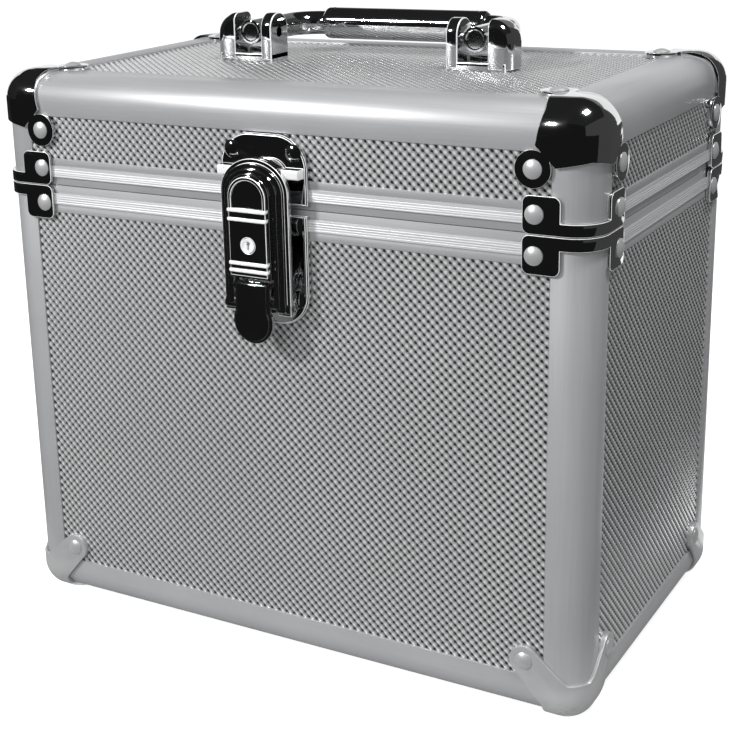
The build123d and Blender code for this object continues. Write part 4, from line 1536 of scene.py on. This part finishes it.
class CASE_OT_camera(bpy.types.Operator):
    """Set the camera where the photograph was taken"""

    bl_idname = "case.camera"
    bl_label = "Camera"

    def execute(self, context):
        turn = Euler((math.radians(90 - CAMERA_TILT), 0, math.radians(CAMERA_TURN)))
        roll = Matrix.Rotation(math.radians(-CAMERA_ROLL), 3, "Z")
        deselect()
        bpy.ops.object.camera_add(
            location=CAMERA_PLACE, rotation=(turn.to_matrix() @ roll).to_euler()
        )
        camera = context.object
        camera.name = "photo_camera"
        camera.data.lens = CAMERA_LENS
        camera.data.shift_x = CAMERA_SHIFT
        camera.data.shift_y = -CAMERA_SHIFT
        context.scene.camera = camera
        return {"FINISHED"}


def aimed_light(name, place, target, size, power, mirrored=True):
    """Soft rectangular light that points at a target."""
    deselect()
    facing = (Vector(target) - Vector(place)).to_track_quat("-Z", "Y").to_euler()
    bpy.ops.object.light_add(type="AREA", location=place, rotation=facing)
    lamp = bpy.context.object
    lamp.name = name
    lamp.data.shape = "RECTANGLE"
    lamp.data.size, lamp.data.size_y = size
    lamp.data.energy = power
    lamp.visible_glossy = mirrored
    return lamp


def card(name, low, high, tone):
    """Flat card between two corners that only reflections see."""
    low, high = Vector(low), Vector(high)
    middle, span = (low + high) / 2, high - low
    thin = min(range(3), key=lambda axis: span[axis])
    turn = ((0, math.pi / 2, 0), (math.pi / 2, 0, 0), (0, 0, 0))[thin]
    across = ((span.z, span.y), (span.x, span.z), (span.x, span.y))[thin]
    deselect()
    bpy.ops.mesh.primitive_plane_add(size=1, location=middle, rotation=turn)
    piece = bpy.context.object
    piece.name = name
    piece.scale = (*across, 1)
    piece.visible_camera = False
    piece.visible_diffuse = False
    piece.visible_transmission = False
    piece.visible_volume_scatter = False
    piece.visible_shadow = False
    finish = Finish(f"{name}_tone")
    tones = {"Color": (tone, tone, tone, 1), "Strength": 1.0}
    piece.data.materials.append(finish.shown_as(finish.node("ShaderNodeEmission", None, tones)))
    return piece


FILL_LEVEL = 0.5
FLOOR_GLOW = 1.56


def seen(finish):
    """1 for rays that see the background as the eye does, and 0 for rays that light things."""
    rays = ("Is Camera Ray", "Is Glossy Ray", "Is Transmission Ray")
    path = finish.node("ShaderNodeLightPath")
    camera, glossy, through = (Amount(finish, path.socket.node.outputs[ray]) for ray in rays)
    return camera.most(glossy).most(through)


def floor_material():
    """Pale floor that reads as white to the eye and keeps the shadow of the case."""
    finish = Finish("pale_floor")
    base = colour(finish_colours().floor)
    inputs = {"Base Color": base, "Roughness": 0.9}
    matt = finish.node("ShaderNodeBsdfPrincipled", None, inputs)
    inputs = {"Color": base, "Strength": seen(finish) * FLOOR_GLOW}
    glow = finish.node("ShaderNodeEmission", None, inputs)
    return finish.shown_as(finish.node("ShaderNodeAddShader", None, {0: matt, 1: glow}))


class Surroundings(Finish):
    """The nodes of the world."""

    def __init__(self, name):
        world = bpy.data.worlds.new(name)
        bpy.context.scene.world = world
        world.use_nodes = True
        self.tree = world.node_tree
        self.tree.nodes.clear()

    def shown_as(self, shader):
        """Let a shader be the world's surface."""
        end = self.tree.nodes.new("ShaderNodeOutputWorld")
        self.tree.links.new(shader.socket, end.inputs["Surface"])


def white_world():
    """White to the eye and in reflections, with a dimmer fill light from all round."""
    world = Surroundings("white_room")
    strength = FILL_LEVEL + seen(world) * (1 - FILL_LEVEL)
    inputs = {"Color": (1, 1, 1, 1), "Strength": strength}
    world.shown_as(world.node("ShaderNodeBackground", None, inputs))


# Edges of the cards: the far walls, the ceiling, just above the floor, and close to the case
FAR = 3.0
HIGH = 2.2
LOW = 0.004
NEAR_LEFT, NEAR_RIGHT, NEAR_FRONT, NEAR_BACK = -0.17, 0.15, -0.09, 0.09

# Cards that the fittings mirror, as lowest and highest corner and grey tone
CARDS = {
    "front_floor_card": ((-FAR, -FAR, LOW), (FAR, NEAR_FRONT, LOW), 0.01),
    "front_wall_card": ((-FAR, -FAR, 0.0), (FAR, -FAR, HIGH), 0.01),
    "near_floor_card": (
        (NEAR_LEFT, NEAR_FRONT, 0.003),
        (NEAR_RIGHT, NEAR_BACK, 0.003),
        0.3,
    ),
    "left_floor_card": ((-FAR, NEAR_FRONT, LOW), (NEAR_LEFT, 1.0, LOW), 0.02),
    "left_wall_card": ((-FAR, -FAR, 0.0), (-FAR, 1.0, HIGH), 0.02),
    "ceiling_card": ((-FAR, -FAR, HIGH), (FAR, FAR, HIGH), 0.02),
    "right_wall_card": ((FAR, -FAR, 0.0), (FAR, FAR, HIGH), 0.06),
    "right_floor_card": ((NEAR_RIGHT, NEAR_FRONT, LOW), (FAR, FAR, LOW), 0.06),
    "back_wall_card": ((0.7, FAR, 0.0), (FAR, FAR, HIGH), 0.06),
    "back_left_card": ((-FAR, FAR, 1.3), (0.7, FAR, HIGH), 0.2),
}


class CASE_OT_studio(bpy.types.Operator):
    """Lay the floor, hang the lights and set the white background"""

    bl_idname = "case.studio"
    bl_label = "Studio"

    def execute(self, context):
        deselect()
        bpy.ops.mesh.primitive_plane_add(size=12)
        floor = context.object
        floor.name = "floor"
        floor.data.materials.append(floor_material())
        white_world()
        middle = (0, MIDDLE_Y, 0.1)
        aimed_light("front_light", (-0.73, -1.14, 0.95), middle, (0.18, 0.12), 18)
        aimed_light("overhead_light", (0.53, -0.09, 1.23), middle, (0.34, 0.22), 11)
        aimed_light("fill_light", (0.1, -1.4, 0.8), middle, (0.7, 0.7), 12, mirrored=False)
        for name, (low, high, tone) in CARDS.items():
            card(name, low, high, tone)
        context.scene.view_settings.view_transform = "Standard"
        return {"FINISHED"}


class CASE_PT_tools(bpy.types.Panel):
    """Sizes, colours and steps of the case"""

    bl_label = "Drive case"
    bl_idname = "CASE_PT_tools"
    bl_space_type = "VIEW_3D"
    bl_region_type = "UI"
    bl_category = "Drive Case"

    def draw(self, context):
        for settings in (context.scene.case_shape, context.scene.case_finish):
            box = self.layout.box()
            for name in settings.bl_rna.properties.keys():
                if name not in ("rna_type", "name"):
                    box.prop(settings, name)
        column = self.layout.column(align=True)
        for operator in OPERATORS:
            column.operator(operator.bl_idname)


OPERATORS = (
    CASE_OT_camera,
    CASE_OT_studio,
    CASE_OT_embossed_panels,
    CASE_OT_extrusions,
    CASE_OT_rims,
    CASE_OT_corners,
    CASE_OT_rivets,
    CASE_OT_latch,
    CASE_OT_key_cylinder,
    CASE_OT_handle,
    CASE_OT_handle_brackets,
    CASE_OT_hinges,
    CASE_OT_foam,
)
CLASSES = (CaseShape, CaseFinish, *OPERATORS, CASE_PT_tools)


def register():
    """Add the classes and their settings."""
    for item in CLASSES:
        bpy.utils.register_class(item)
    bpy.types.Scene.case_shape = bpy.props.PointerProperty(type=CaseShape)
    bpy.types.Scene.case_finish = bpy.props.PointerProperty(type=CaseFinish)


def unregister():
    """Take the classes and their settings away."""
    del bpy.types.Scene.case_finish
    del bpy.types.Scene.case_shape
    for item in reversed(CLASSES):
        bpy.utils.unregister_class(item)


def main():
    """Make every piece in order."""
    register()
    bpy.ops.case.camera()
    bpy.ops.case.studio()
    bpy.ops.case.embossed_panels()
    bpy.ops.case.extrusions()
    bpy.ops.case.rims()
    bpy.ops.case.corners()
    bpy.ops.case.rivets()
    bpy.ops.case.latch()
    bpy.ops.case.key_cylinder()
    bpy.ops.case.handle()
    bpy.ops.case.handle_brackets()
    bpy.ops.case.hinges()
    bpy.ops.case.foam()


if __name__ == "__main__":
    main()
